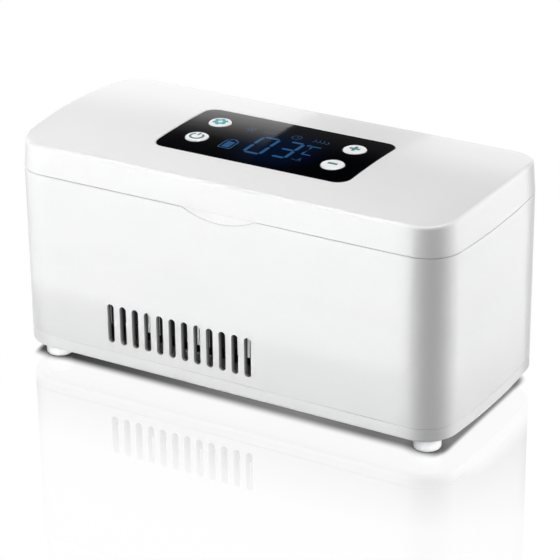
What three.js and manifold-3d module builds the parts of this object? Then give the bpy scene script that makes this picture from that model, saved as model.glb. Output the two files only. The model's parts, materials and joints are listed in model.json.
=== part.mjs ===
// Insulin cooling case: a small thermoelectric cooler with a hinged lid, a dark display window,
// four push buttons, a cold chamber on top and its fan, heat sink and battery underneath.
// Millimetres, +Z up, the front faces -Y and the feet stand on Z = 0.

import * as THREE from "three";
import { mergeVertices, toCreasedNormals } from "three/addons/utils/BufferGeometryUtils.js";
import Module from "manifold-3d";

const wasm = await Module();
wasm.setup();

// Case outline, seen from above
const CASE_LENGTH = 205;
const CASE_WIDTH = 92.5;
const CORNER_RADIUS = 15;
const END_BOW_RADIUS = 360;
const WALL = 2.5;

// Heights of the outer shells, from the table upwards
const FOOT_HEIGHT = 7.5;
const BASE_HEIGHT = 5.7;
const HOUSING_HEIGHT = 73.2;
const LID_HEIGHT = 12.5;
const LID_CROWN = 2.6;
const LID_LEAN = 0.9;
const LID_EDGE_RADIUS = 1.4;
const LID_ROOF = 3;
const SEAM_GAP = 0.4;
const FIT = 0.3;

// Bottom cover and feet
const FLOOR = 2.2;
const BASE_EDGE_RADIUS = 1.2;
const LIP_THICKNESS = 1.5;
const LIP_HEIGHT = 2.5;
const FOOT_RADIUS = 5.9;
const FOOT_INSET_ENDS = 13.7;
const FOOT_INSET_SIDES = 12;
const FOOT_EDGE_RADIUS = 1.2;
const FOOT_STEM_RADIUS = 2.5;
const FOOT_BARB_RADIUS = 3.2;
const FOOT_BARB_HEIGHT = 1.2;
const INTAKE_SLOT_WIDTH = 3;
const INTAKE_SLOT_PITCH = 5.6;

// Vent slots in the front and rear walls
const VENT_COUNT = 12;
const VENT_PITCH = 6.03;
const VENT_WIDTH = 3.2;
const VENT_HEIGHT = 17.6;
const VENT_LIFT = 10;
const VENT_CENTRE_X = -20.3;

// Finger scoop under the front edge of the lid
const SCOOP_WIDTH = 34.1;
const SCOOP_DROP = 4.2;
const SCOOP_DEPTH = 1.8;

// Lid hinges on the rear edge
const HINGE_X = 58;
const BARREL_RADIUS = 3;
const PIN_RADIUS = 1.25;
const KNUCKLE_LENGTH = 12;
const LUG_LENGTH = 6;
const GUSSET_HEIGHT = 8;
const HINGE_SIDE_GAP = 0.4;

// Screws and the posts that take them
const POST_RADIUS = 3.6;
const POST_HEIGHT = 28;
const POST_X = 70;
const POST_SINK = 0.6;
const SCREW_SHANK_RADIUS = 1.45;
const SCREW_HEAD_RADIUS = 2.8;
const SCREW_HEAD_HEIGHT = 1.7;
const SCREW_HOLE_RADIUS = SCREW_SHANK_RADIUS + FIT;
const HEAD_HOLE_RADIUS = SCREW_HEAD_RADIUS + FIT;
const HEAD_SINK = 0.5;
const CASE_SCREW_LENGTH = 18;
const LID_SCREW_LENGTH = 7;
const BOARD_SCREW_LENGTH = 6;

// Cold chamber, its insulation and the deck around its mouth
const INSULATION_ENDS = 15;
const INSULATION_SIDES = 14.75;
const CHAMBER_RADIUS = 8;
const TRAY_SHEET = 1.2;
const TRAY_FLOOR = 1.5;
const TRAY_RIM = 2.5;
const DECK_DROP = 1.8;
const DECK_THICKNESS = 2.4;
const LEDGE = 2;
const LEDGE_HEIGHT = 2.2;

// Cooling stack above the intake, from the fan upwards
const FAN_SIZE = 60;
const FAN_CORNER_RADIUS = 3;
const FAN_HOLE_OFFSET = 25;
const FAN_THICKNESS = 10;
const FAN_AIR_GAP = 4.1;
const FAN_DUCT_RADIUS = 28;
const FAN_HUB_RADIUS = 12;
const FAN_STRUT_WIDTH = 3;
const FAN_PLATE = 1.8;
const FAN_SHAFT_RADIUS = 1.25;
const FAN_TIP_GAP = 1;
const BLADE_COUNT = 9;
const BLADE_SECTIONS = 4;
const BLADE_CHORD = 12;
const BLADE_THICKNESS = 1.1;
const BLADE_PITCH_HUB = 42;
const BLADE_PITCH_TIP = 26;
const FIN_COUNT = 16;
const FIN_PITCH = 4.82;
const FIN_THICKNESS = 1.2;
const FIN_HEIGHT = 15.6;
const FIN_WALL_GAP = 1.5;
const SINK_PLATE = 4;
const SINK_MARGIN = 1.2;
const MODULE_SIZE = 40;
const MODULE_THICKNESS = 3.8;
const MODULE_CERAMIC = 0.8;
const MODULE_REVEAL = 1;
const COLD_BLOCK_LENGTH = 64;
const COLD_BLOCK_HEIGHT = 8.5;
const CLAMP_SPACING = 52;
const CLAMP_DEPTH = 6;
const SENSOR_RADIUS = 1.7;
const SENSOR_LENGTH = 14;
const SENSOR_DISTANCE = 46;

// Battery pack and its cover in the bottom
const CELL_RADIUS = 9.3;
const CELL_LENGTH = 66;
const BATTERY_X = 55;
const BATTERY_ROOM = 1;
const BATTERY_COVER = 1.8;
const BATTERY_LEDGE = 3;
const BATTERY_SCREW_LEDGE = 8;
const BATTERY_PAD_RIM = 2;
const PLATE_RADIUS = 2;
const CELL_WEB = 7.4;

// Main board and its power inlet
const BOARD_THICKNESS = 1.6;
const MAIN_BOARD_LENGTH = 72;
const MAIN_BOARD_X = 54;
const MAIN_BOARD_POST_SPACING = 54;
const MAIN_BOARD_POST_MARGIN = 6.55;
const MAIN_POST_RADIUS = 3;
const CHIP_SIZE = 12;
const CHIP_HEIGHT = 1.8;
const CAPACITOR_RADIUS = 3;
const CAPACITOR_HEIGHT = 6;
const JACK_X = 50;
const JACK_WIDTH = 11;
const JACK_DEPTH = 13;
const JACK_HEIGHT = 10;
const JACK_NOSE_RADIUS = 4.2;
const JACK_BORE_RADIUS = 2.9;
const JACK_BORE_DEPTH = 9;
const JACK_PIN_RADIUS = 1;
const JACK_HEADROOM = 1.5;
const LEAD_RADIUS = 1.1;

// Display window, buttons and the boards under them
const WINDOW_LENGTH = 90.5;
const WINDOW_WIDTH = 47.3;
const WINDOW_RADIUS = 5.5;
const WINDOW_Y = -0.5;
const WINDOW_THICKNESS = 1.5;
const WINDOW_SINK = 0.1;
const BUTTON_MARGIN = 13.25;
const BUTTON_SPACING_Y = 18.4;
const BUTTON_RADIUS = 4.9;
const BUTTON_PROUD = 0.3;
const BUTTON_EDGE_RADIUS = 0.5;
const BUTTON_DOME = 0.2;
const BUTTON_TRAVEL = 0.8;
const FLANGE_WIDTH = 1.3;
const FLANGE_THICKNESS = 0.9;
const FLANGE_DROP = 0.5;
const FLANGE_CLEARANCE = 2;
const SWITCH_SIZE = 6;
const PLUNGER_RADIUS = 1.7;
const PLUNGER_REACH = 0.7;
const LCD_LENGTH = 48;
const LCD_WIDTH = 30;
const CONTROL_BOARD_DROP = 7.5;
const CONTROL_POST_RADIUS = 2.6;
const CONTROL_BOARD_RIM = 1.2;

// Lid liner, its plug into the chamber mouth, the seal and the magnets
const LINER = 2;
const PLUG_REACH = 1.4;
const PLUG_GAP = 1.5;
const PLUG_WALL = 1.8;
const GASKET_WIDTH = 4;
const MAGNET_RADIUS = 2.5;
const MAGNET_HEIGHT = 2.5;
const MAGNET_BOSS_WALL = 0.8;
const MAGNET_SKIN = 1;

// Facets
const CORNER_STEPS = 7;
const END_STEPS = 6;
const ARC_STEPS = 2;
const SLOT_STEPS = 1;
const EDGE_STEPS = 3;
const SMALL_EDGE_STEPS = 2;
const ROUND_STEPS = 14;
const POST_STEPS = 8;
const SCREW_STEPS = 8;
const CROWN_STEPS = 10;
const SCOOP_STEPS = 64;
const LEAD_SIDES = 8;
const LEAD_STEP = 5;
const MERGE_DISTANCE = 1e-4;
const CREASE_ANGLE = Math.PI / 6;
const PAST = 1;

// Levels that follow from the heights
const baseBottom = FOOT_HEIGHT;
const floorTop = baseBottom + FLOOR;
const baseSeam = baseBottom + BASE_HEIGHT;
const housingBottom = baseSeam + FIT;
const lipTop = baseSeam + LIP_HEIGHT;
const seam = baseSeam + HOUSING_HEIGHT;
const lidBottom = seam + SEAM_GAP;
const lidEdge = seam + LID_HEIGHT;
const fanBottom = floorTop + FAN_AIR_GAP;
const fanTop = fanBottom + FAN_THICKNESS;
const finBottom = fanTop + FIT;
const sinkPlateBottom = finBottom + FIN_HEIGHT;
const sinkTop = sinkPlateBottom + SINK_PLATE;
const moduleBottom = sinkTop + FIT;
const moduleTop = moduleBottom + MODULE_THICKNESS;
const blockBottom = moduleTop + FIT;
const blockTop = blockBottom + COLD_BLOCK_HEIGHT;
const trayBottom = blockTop + FIT;
const trayFloor = trayBottom + TRAY_FLOOR;
const deckTop = seam - DECK_DROP;
const deckBottom = deckTop - DECK_THICKNESS;
const trayRimTop = deckBottom - FIT;
const trayRimBottom = trayRimTop - TRAY_SHEET;
const foamTop = trayRimBottom - FIT;
const foamBottom = blockBottom + FIT;
const linerBottom = lidBottom + FIT;
const linerTop = linerBottom + LINER;
const plugBottom = deckTop - PLUG_REACH;

// Places that several pieces share; the lid's corner screws stand over the feet
const halfLength = CASE_LENGTH / 2;
const halfWidth = CASE_WIDTH / 2;
const hingeY = halfWidth;
const hingeZ = seam + SEAM_GAP / 2;
const cornerY = halfWidth - CORNER_RADIUS;
const bowCentreX = halfLength - END_BOW_RADIUS;
const bowAngle = Math.asin(cornerY / (END_BOW_RADIUS - CORNER_RADIUS));
const cornerX = bowCentreX + (END_BOW_RADIUS - CORNER_RADIUS) * Math.cos(bowAngle);
const footX = halfLength - FOOT_INSET_ENDS;
const footY = halfWidth - FOOT_INSET_SIDES;
const postY = halfWidth - WALL - POST_RADIUS + POST_SINK;
const lipInset = WALL + FIT;
const rimInset = lipInset + LIP_THICKNESS;
const ledgeInset = WALL + LEDGE;
const chamberLength = CASE_LENGTH - 2 * (WALL + INSULATION_ENDS);
const chamberWidth = CASE_WIDTH - 2 * (WALL + INSULATION_SIDES);
const rimHalfWidth = chamberWidth / 2 + TRAY_SHEET + TRAY_RIM;
const magnetY = -(rimHalfWidth + halfWidth - ledgeInset) / 2;
const magnetBossRadius = MAGNET_RADIUS + FIT + MAGNET_BOSS_WALL;
const gapShift = FIN_COUNT % 2 / 2;
const fanScrewOffset = (Math.round(FAN_HOLE_OFFSET / FIN_PITCH - gapShift) + gapShift) * FIN_PITCH;
const sinkHalfDepth = halfWidth - WALL - FIN_WALL_GAP;
const sinkLength = (FIN_COUNT - 1) * FIN_PITCH + FIN_THICKNESS + 2 * SINK_MARGIN;
const jackTop = foamBottom - JACK_HEADROOM;
const jackBottom = jackTop - JACK_HEIGHT;
const jackZ = (jackTop + jackBottom) / 2;
const mainBoardTop = jackBottom - FIT;
const mainBoardBottom = mainBoardTop - BOARD_THICKNESS;
const mainBoardHalfWidth = postY - POST_RADIUS - 2 * FIT;
const mainBoardPostY = mainBoardHalfWidth - MAIN_BOARD_POST_MARGIN;
const batteryBottom = baseBottom + BATTERY_COVER + FIT;
const controlBoardTop = lidEdge + LID_CROWN - CONTROL_BOARD_DROP;
const controlBoardBottom = controlBoardTop - BOARD_THICKNESS;
const controlPostX = WINDOW_LENGTH / 2 + CONTROL_POST_RADIUS + CONTROL_BOARD_RIM;
const controlPostY = BUTTON_SPACING_Y / 2 + SWITCH_SIZE;
const buttonX = WINDOW_LENGTH / 2 - BUTTON_MARGIN;
const buttonRearY = WINDOW_Y + BUTTON_SPACING_Y / 2;
const buttonFrontY = WINDOW_Y - BUTTON_SPACING_Y / 2;
const flangeRadius = BUTTON_RADIUS + FLANGE_WIDTH;
const windowLedge = BUTTON_MARGIN - flangeRadius - FLANGE_CLEARANCE;

// Materials
const finish = (color, roughness, metalness) =>
  new THREE.MeshStandardMaterial({ color, roughness, metalness });
const gloss_white = finish(0xf2f3f4, 0.22, 0);
const satin_white = finish(0xe9ebec, 0.45, 0);
const foot_white = finish(0xdfe3e6, 0.5, 0);
const window_black = finish(0x07080a, 0.06, 0);
const button_white = finish(0xf4f5f5, 0.3, 0);
const seal_grey = finish(0xa9afb3, 0.7, 0);
const foam_white = finish(0xdcdcd6, 0.9, 0);
const chamber_metal = finish(0xc4c8cb, 0.35, 1);
const fin_metal = finish(0xb9bdc0, 0.4, 1);
const steel = finish(0x9fa3a6, 0.35, 1);
const fan_black = finish(0x17181a, 0.45, 0);
const board_green = finish(0x1d5a3a, 0.5, 0);
const ceramic_white = finish(0xe6e2da, 0.6, 0);
const cell_blue = finish(0x2b4f8c, 0.35, 0);
const part_black = finish(0x1b1c1e, 0.4, 0);
const lead_red = finish(0xa32a26, 0.5, 0);

// A closed geometry as a solid: shared corners merged, collapsed triangles dropped
function solidFrom(geometry) {
  const plain = new THREE.BufferGeometry();
  plain.setAttribute("position", geometry.getAttribute("position"));
  plain.setIndex(geometry.getIndex());
  const merged = mergeVertices(plain, MERGE_DISTANCE);
  const corners = merged.getIndex().array;
  const kept = [];
  for (let i = 0; i < corners.length; i += 3) {
    const [a, b, c] = [corners[i], corners[i + 1], corners[i + 2]];
    if (a !== b && b !== c && c !== a) kept.push(a, b, c);
  }
  return new wasm.Manifold(new wasm.Mesh({
    numProp: 3,
    vertProperties: new Float32Array(merged.getAttribute("position").array),
    triVerts: new Uint32Array(kept),
  }));
}

// A named sub-part from its solid
function addPart(parent, name, solid, material, x = 0, y = 0, z = 0) {
  const { vertProperties, triVerts } = solid.getMesh();
  const geometry = new THREE.BufferGeometry();
  geometry.setAttribute("position", new THREE.BufferAttribute(vertProperties, 3));
  geometry.setIndex(new THREE.BufferAttribute(triVerts, 1));
  const part = new THREE.Mesh(toCreasedNormals(geometry, CREASE_ANGLE), material);
  part.name = name;
  part.position.set(x, y, z);
  parent.add(part);
  return part;
}

const cut = (solid, ...tools) => tools.reduce((rest, tool) => rest.subtract(tool), solid);
const join = (solid, ...others) => others.reduce((whole, other) => whole.add(other), solid);

// Basic solids

function prism(shape, bottom, top, curveSegments = ARC_STEPS) {
  const settings = { depth: top - bottom, bevelEnabled: false, curveSegments };
  return solidFrom(new THREE.ExtrudeGeometry(shape, settings).translate(0, 0, bottom));
}

function block(xFrom, xTo, yFrom, yTo, zFrom, zTo) {
  const geometry = new THREE.BoxGeometry(xTo - xFrom, yTo - yFrom, zTo - zFrom);
  return solidFrom(geometry.translate((xFrom + xTo) / 2, (yFrom + yTo) / 2, (zFrom + zTo) / 2));
}

function rod(radius, bottom, top, x = 0, y = 0, steps = ROUND_STEPS) {
  const geometry = new THREE.CylinderGeometry(radius, radius, top - bottom, steps);
  return solidFrom(geometry.rotateX(Math.PI / 2).translate(x, y, (bottom + top) / 2));
}

function rodAlongX(radius, xFrom, xTo, y, z, steps = ROUND_STEPS) {
  const geometry = new THREE.CylinderGeometry(radius, radius, xTo - xFrom, steps);
  return solidFrom(geometry.rotateZ(-Math.PI / 2).translate((xFrom + xTo) / 2, y, z));
}

function rodAlongY(radius, yFrom, yTo, x, z, steps = ROUND_STEPS) {
  const geometry = new THREE.CylinderGeometry(radius, radius, yTo - yFrom, steps);
  return solidFrom(geometry.translate(x, (yFrom + yTo) / 2, z));
}

function turned(profile, steps = ROUND_STEPS) {
  const points = profile.map(([radius, z]) => new THREE.Vector2(radius, z));
  return solidFrom(new THREE.LatheGeometry(points, steps).rotateX(Math.PI / 2));
}

// A shape drawn in X and Z, pushed through the case from yFrom back to yTo
function throughY(shape, yFrom, yTo, curveSegments = ARC_STEPS) {
  const settings = { depth: yTo - yFrom, bevelEnabled: false, curveSegments };
  const geometry = new THREE.ExtrudeGeometry(shape, settings);
  return solidFrom(geometry.rotateX(Math.PI / 2).translate(0, yTo, 0));
}

// A shape drawn in Y and Z, pushed along X
function throughX(shape, xFrom, xTo) {
  const settings = { depth: xTo - xFrom, bevelEnabled: false, curveSegments: ARC_STEPS };
  const turn = new THREE.Matrix4().makeBasis(
    new THREE.Vector3(0, 1, 0), new THREE.Vector3(0, 0, 1), new THREE.Vector3(1, 0, 0));
  return solidFrom(new THREE.ExtrudeGeometry(shape, settings).applyMatrix4(turn).translate(xFrom, 0, 0));
}

function polygon(points) {
  return new THREE.Shape(points.map(([x, y]) => new THREE.Vector2(x, y)));
}

function roundedRectangle(length, width, radius, x = 0, y = 0) {
  const [right, left] = [x + length / 2 - radius, x - length / 2 + radius];
  const [upper, lower] = [y + width / 2 - radius, y - width / 2 + radius];
  const shape = new THREE.Shape();
  shape.absarc(right, lower, radius, -Math.PI / 2, 0);
  shape.absarc(right, upper, radius, 0, Math.PI / 2);
  shape.absarc(left, upper, radius, Math.PI / 2, Math.PI);
  shape.absarc(left, lower, radius, Math.PI, 1.5 * Math.PI);
  return shape;
}

// A solid skinned over rings of equal count, each running anticlockwise seen from its far end.
// The ends are closed by rungs from one half of the ring to the other.
function skin(rings) {
  const count = rings[0].length;
  const half = count / 2;
  const positions = rings.flat().flatMap((point) => [point.x, point.y, point.z]);
  const index = [];
  const quad = (a, b, c, d) => index.push(a, b, c, a, c, d);
  for (let ring = 0; ring + 1 < rings.length; ring += 1) {
    for (let i = 0; i < count; i += 1) {
      const next = (i + 1) % count;
      const [low, high] = [ring * count, (ring + 1) * count];
      quad(low + i, low + next, high + next, high + i);
    }
  }
  const last = (rings.length - 1) * count;
  for (let i = 0; i + 1 < half; i += 1) {
    const mirror = count - 1 - i;
    quad(i, mirror, mirror - 1, i + 1);
    quad(last + i, last + i + 1, last + mirror - 1, last + mirror);
  }
  const geometry = new THREE.BufferGeometry();
  geometry.setAttribute("position", new THREE.Float32BufferAttribute(positions, 3));
  geometry.setIndex(index);
  return solidFrom(geometry);
}

// The case outline drawn in by an inset: straight long sides, round corners and bowed ends
function outlinePoints(inset) {
  const points = [];
  const arc = (x, y, radius, from, to, steps) => {
    for (let i = 0; i <= steps; i += 1) {
      const angle = from + (to - from) * i / steps;
      points.push(new THREE.Vector2(x + radius * Math.cos(angle), y + radius * Math.sin(angle)));
    }
  };
  const corner = CORNER_RADIUS - inset;
  const bow = END_BOW_RADIUS - inset;
  const quarter = Math.PI / 2;
  arc(cornerX, -cornerY, corner, -quarter, -bowAngle, CORNER_STEPS);
  points.pop();
  arc(bowCentreX, 0, bow, -bowAngle, bowAngle, END_STEPS);
  points.pop();
  arc(cornerX, cornerY, corner, bowAngle, quarter, CORNER_STEPS);
  const leftSide = points.map((point) => new THREE.Vector2(-point.x, point.y)).reverse();
  return points.concat(leftSide);
}

const outline = (inset) => new THREE.Shape(outlinePoints(inset));

function outlineRing(innerInset, outerInset, bottom, top) {
  return prism(outline(outerInset), bottom, top)
    .subtract(prism(outline(innerInset), bottom - PAST, top + PAST));
}

// Rise of the lid's top over its front and rear edges
const crown = (y) => LID_CROWN * (1 - (y / halfWidth) ** 2);

// A ring of the case outline at a height, lifted by the crown where asked
function outlineLoop(inset, z, crowned = false) {
  return outlinePoints(inset).map((point) =>
    new THREE.Vector3(point.x, point.y, z + (crowned ? crown(point.y) : 0)));
}

// The layer between two offsets from the lid's crowned top
function crownLayer(lower, upper) {
  const row = Array.from({ length: CROWN_STEPS + 1 }, (_, i) => CASE_WIDTH * (i / CROWN_STEPS - 0.5));
  const under = row.map((y) => [y, lidEdge + crown(y) + lower]);
  const over = row.map((y) => [y, lidEdge + crown(y) + upper]);
  return throughX(polygon(under.concat(over.reverse())), -halfLength, halfLength);
}

// Hinge: lugs on the housing, a knuckle on the lid between them

function lugSpans(side) {
  const inner = KNUCKLE_LENGTH / 2 + HINGE_SIDE_GAP;
  const centre = side * HINGE_X;
  return [[centre - inner - LUG_LENGTH, centre - inner], [centre + inner, centre + inner + LUG_LENGTH]];
}

const hingeSpan = (side) => [lugSpans(side)[0][0], lugSpans(side)[1][1]];
const knuckleSpan = (side) => [side * HINGE_X - KNUCKLE_LENGTH / 2, side * HINGE_X + KNUCKLE_LENGTH / 2];

function barrel([xFrom, xTo], towards) {
  const root = hingeY - WALL / 2;
  const gusset = polygon([
    [root, hingeZ],
    [root, hingeZ + towards * GUSSET_HEIGHT],
    [hingeY, hingeZ + towards * GUSSET_HEIGHT],
    [hingeY + BARREL_RADIUS, hingeZ],
  ]);
  return rodAlongX(BARREL_RADIUS, xFrom, xTo, hingeY, hingeZ).add(throughX(gusset, xFrom, xTo));
}

const barrelRoom = ([xFrom, xTo]) => rodAlongX(
  BARREL_RADIUS + HINGE_SIDE_GAP, xFrom - HINGE_SIDE_GAP, xTo + HINGE_SIDE_GAP, hingeY, hingeZ);

const pinHole = ([xFrom, xTo]) => rodAlongX(
  PIN_RADIUS + FIT, xFrom - PAST, xTo + PAST, hingeY, hingeZ, SCREW_STEPS);

// Outer shells of the base

function ventSlots(yFrom, yTo) {
  const z = baseBottom + VENT_LIFT + VENT_HEIGHT / 2;
  return Array.from({ length: VENT_COUNT }, (_, i) => {
    const x = VENT_CENTRE_X + (i - (VENT_COUNT - 1) / 2) * VENT_PITCH;
    const slot = roundedRectangle(VENT_WIDTH, VENT_HEIGHT, VENT_WIDTH / 2, x, z);
    return throughY(slot, yFrom, yTo, SLOT_STEPS);
  });
}

// A shallow dish whose edge meets the front wall along an arc from one end of the scoop to the other
function fingerScoop() {
  const rim = ((SCOOP_WIDTH / 2) ** 2 + SCOOP_DROP ** 2) / (2 * SCOOP_DROP);
  const atSeam = rim - SCOOP_DROP;
  const stand = (rim ** 2 - atSeam ** 2 - SCOOP_DEPTH ** 2) / (2 * SCOOP_DEPTH);
  const depth = (radius) => Math.sqrt(stand ** 2 + rim ** 2 - radius ** 2) - stand;
  const profile = [[0, -PAST], [rim, -PAST]];
  for (let i = 0; i <= EDGE_STEPS; i += 1) {
    const radius = rim - i * SCOOP_DROP / EDGE_STEPS;
    profile.push([radius, depth(radius)]);
  }
  profile.push([0, depth(0)]);
  const points = profile.map(([radius, along]) => new THREE.Vector2(radius, along));
  const dish = new THREE.LatheGeometry(points, SCOOP_STEPS);
  return solidFrom(dish.translate(0, -halfWidth, seam - SCOOP_DROP + rim));
}

const signs = [-1, 1];
const corners = (x, y) => signs.flatMap((sx) => signs.map((sy) => [sx * x, sy * y]));

function makeHousing() {
  const postBottom = lipTop + FIT;
  const ledgeTop = deckBottom - FIT;
  const lugs = signs.flatMap(lugSpans);
  const posts = corners(POST_X, postY);
  const shell = join(
    outlineRing(WALL, 0, housingBottom, seam),
    outlineRing(ledgeInset, WALL / 2, ledgeTop - LEDGE_HEIGHT, ledgeTop),
    ...posts.map(([x, y]) => rod(POST_RADIUS, postBottom, postBottom + POST_HEIGHT, x, y, POST_STEPS)));
  const trimmed = cut(
    shell,
    ...posts.map(([x, y]) => rod(SCREW_HOLE_RADIUS, postBottom - PAST,
      screwSeat + CASE_SCREW_LENGTH + FIT, x, y, SCREW_STEPS)),
    ...ventSlots(-halfWidth - PAST, -halfWidth + WALL + PAST),
    ...ventSlots(halfWidth - WALL - PAST, halfWidth + PAST),
    rodAlongY(JACK_NOSE_RADIUS + FIT, halfWidth - WALL - PAST, halfWidth + PAST, JACK_X, jackZ),
    fingerScoop(),
    ...signs.map((side) => barrelRoom(knuckleSpan(side))));
  return cut(join(trimmed, ...lugs.map((span) => barrel(span, -1))), ...lugs.map(pinHole));
}

// The underside of the bottom cover's screw bosses, where the screw heads bear
const screwSeat = baseBottom + HEAD_SINK + SCREW_HEAD_HEIGHT + FIT;

const batteryOpening = {
  length: CELL_LENGTH + 2 * BATTERY_ROOM,
  width: 4 * CELL_RADIUS + 2 * BATTERY_ROOM,
};
const batteryCoverSize = {
  length: batteryOpening.length + BATTERY_LEDGE + BATTERY_SCREW_LEDGE,
  width: batteryOpening.width + 2 * BATTERY_LEDGE,
  x: BATTERY_X + (BATTERY_LEDGE - BATTERY_SCREW_LEDGE) / 2,
};
const batteryScrewX = BATTERY_X - batteryOpening.length / 2 - BATTERY_SCREW_LEDGE / 2;

function intakeSlots() {
  const reach = FAN_DUCT_RADIUS - INTAKE_SLOT_WIDTH / 2;
  const rows = Math.floor(reach / INTAKE_SLOT_PITCH);
  return Array.from({ length: 2 * rows + 1 }, (_, i) => {
    const offset = (i - rows) * INTAKE_SLOT_PITCH;
    const span = 2 * Math.sqrt(FAN_DUCT_RADIUS ** 2 - offset ** 2);
    const slot = roundedRectangle(INTAKE_SLOT_WIDTH, span, INTAKE_SLOT_WIDTH / 2, VENT_CENTRE_X + offset);
    return prism(slot, baseBottom - PAST, floorTop + PAST, SLOT_STEPS);
  });
}

function makeBottomCover() {
  const edge = Array.from({ length: EDGE_STEPS + 1 }, (_, i) => {
    const angle = i / EDGE_STEPS * Math.PI / 2;
    return outlineLoop(BASE_EDGE_RADIUS * (1 - Math.sin(angle)),
      baseBottom + BASE_EDGE_RADIUS * (1 - Math.cos(angle)));
  });
  const dish = skin([...edge, outlineLoop(0, baseSeam)])
    .subtract(prism(outline(rimInset), floorTop, baseSeam + PAST));
  const ledgeTop = baseBottom + BATTERY_COVER + FIT + FLOOR;
  const { length, width, x } = batteryCoverSize;
  const pad = roundedRectangle(
    length + 2 * BATTERY_PAD_RIM, width + 2 * BATTERY_PAD_RIM, PLATE_RADIUS, x);
  const opening = roundedRectangle(batteryOpening.length, batteryOpening.width, PLATE_RADIUS, BATTERY_X);
  const recess = roundedRectangle(length + 2 * FIT, width + 2 * FIT, PLATE_RADIUS, x);
  const posts = corners(POST_X, postY);
  const boardPosts = corners(MAIN_BOARD_POST_SPACING / 2, mainBoardPostY)
    .map(([dx, y]) => [MAIN_BOARD_X + dx, y]);
  const built = join(
    dish,
    outlineRing(rimInset, lipInset, floorTop, lipTop),
    prism(pad, floorTop - FLOOR / 2, ledgeTop),
    ...posts.map(([px, py]) => rod(POST_RADIUS, floorTop - FLOOR / 2, lipTop, px, py, POST_STEPS)
      .intersect(prism(outline(lipInset), baseBottom, lipTop))),
    ...boardPosts.map(([px, py]) => rod(MAIN_POST_RADIUS, floorTop - FLOOR / 2, mainBoardBottom - FIT,
      px, py, POST_STEPS)));
  return cut(
    built,
    prism(recess, baseBottom - PAST, ledgeTop - FLOOR),
    prism(opening, baseBottom - PAST, ledgeTop + PAST),
    rod(SCREW_HOLE_RADIUS, baseBottom, ledgeTop + PAST, batteryScrewX, 0, SCREW_STEPS),
    ...intakeSlots(),
    ...posts.map(([px, py]) => rod(HEAD_HOLE_RADIUS, baseBottom - PAST, screwSeat, px, py, POST_STEPS)),
    ...posts.map(([px, py]) => rod(SCREW_HOLE_RADIUS, baseBottom, lipTop + PAST, px, py, SCREW_STEPS)),
    ...boardPosts.map(([px, py]) => rod(SCREW_HOLE_RADIUS, mainBoardTop - BOARD_SCREW_LENGTH - FIT,
      mainBoardTop, px, py, SCREW_STEPS)),
    ...corners(footX, footY).map(([px, py]) =>
      rod(FOOT_STEM_RADIUS + FIT, baseBottom - PAST, floorTop + PAST, px, py, POST_STEPS)));
}

// A foot with a rounded tread and a barbed stem that snaps through the floor
function makeFoot() {
  const top = FOOT_HEIGHT - FIT;
  const barbBottom = floorTop + FIT;
  const barbTop = barbBottom + FOOT_BARB_HEIGHT;
  const tread = Array.from({ length: SMALL_EDGE_STEPS + 1 }, (_, i) => {
    const angle = i / SMALL_EDGE_STEPS * Math.PI / 2;
    const radius = FOOT_RADIUS - FOOT_EDGE_RADIUS * (1 - Math.sin(angle));
    return [radius, FOOT_EDGE_RADIUS * (1 - Math.cos(angle))];
  });
  return turned([[0, 0], ...tread, [FOOT_RADIUS, top], [FOOT_STEM_RADIUS, top],
    [FOOT_STEM_RADIUS, barbBottom], [FOOT_BARB_RADIUS, barbBottom],
    [FOOT_STEM_RADIUS, barbTop], [0, barbTop]]);
}

// A screw with its head at z = 0 and its shank pointing up
function makeScrew(length) {
  return turned([[0, -SCREW_HEAD_HEIGHT], [SCREW_HEAD_RADIUS, -SCREW_HEAD_HEIGHT], [SCREW_HEAD_RADIUS, 0],
    [SCREW_SHANK_RADIUS, 0], [SCREW_SHANK_RADIUS, length], [0, length]], SCREW_STEPS);
}

function makeBatteryCover() {
  const { length, width, x } = batteryCoverSize;
  const top = baseBottom + BATTERY_COVER;
  return cut(
    prism(roundedRectangle(length, width, PLATE_RADIUS, x), baseBottom, top),
    rod(SCREW_HOLE_RADIUS, baseBottom - PAST, top + PAST, batteryScrewX, 0, SCREW_STEPS),
    rod(HEAD_HOLE_RADIUS, baseBottom - PAST, baseBottom + BATTERY_COVER / 2, batteryScrewX, 0));
}

// The countersunk screw of the battery cover, with a low head that stays flush
function makeBatteryScrew() {
  const seat = BATTERY_COVER / 2 - FIT;
  const length = BATTERY_COVER / 2 + FIT + FLOOR;
  return turned([[0, 0], [SCREW_HEAD_RADIUS, 0], [SCREW_HEAD_RADIUS, seat], [SCREW_SHANK_RADIUS, seat],
    [SCREW_SHANK_RADIUS, seat + length], [0, seat + length]], SCREW_STEPS);
}

// Two round cells side by side in one sleeve
function makeBatteryPack() {
  const z = batteryBottom + CELL_RADIUS;
  const [xFrom, xTo] = [BATTERY_X - CELL_LENGTH / 2, BATTERY_X + CELL_LENGTH / 2];
  return join(
    rodAlongX(CELL_RADIUS, xFrom, xTo, -CELL_RADIUS, z),
    rodAlongX(CELL_RADIUS, xFrom, xTo, CELL_RADIUS, z),
    block(xFrom, xTo, -CELL_WEB / 2, CELL_WEB / 2, z - CELL_RADIUS + FIT, z + CELL_RADIUS - FIT));
}

// Cold chamber

function makeDeck() {
  const plate = prism(outline(lipInset), deckBottom, deckTop);
  const magnetRoof = deckTop - MAGNET_SKIN;
  const boss = rod(magnetBossRadius, magnetRoof - FIT - MAGNET_HEIGHT, magnetRoof, 0, magnetY);
  const mouth = roundedRectangle(chamberLength, chamberWidth, CHAMBER_RADIUS);
  return cut(
    join(plate, boss),
    prism(mouth, deckBottom - PAST, deckTop + PAST),
    rod(MAGNET_RADIUS + FIT, deckBottom - MAGNET_HEIGHT - PAST, magnetRoof, 0, magnetY));
}

const chamberShape = (growth) => roundedRectangle(
  chamberLength + 2 * growth, chamberWidth + 2 * growth, CHAMBER_RADIUS + growth);

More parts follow.
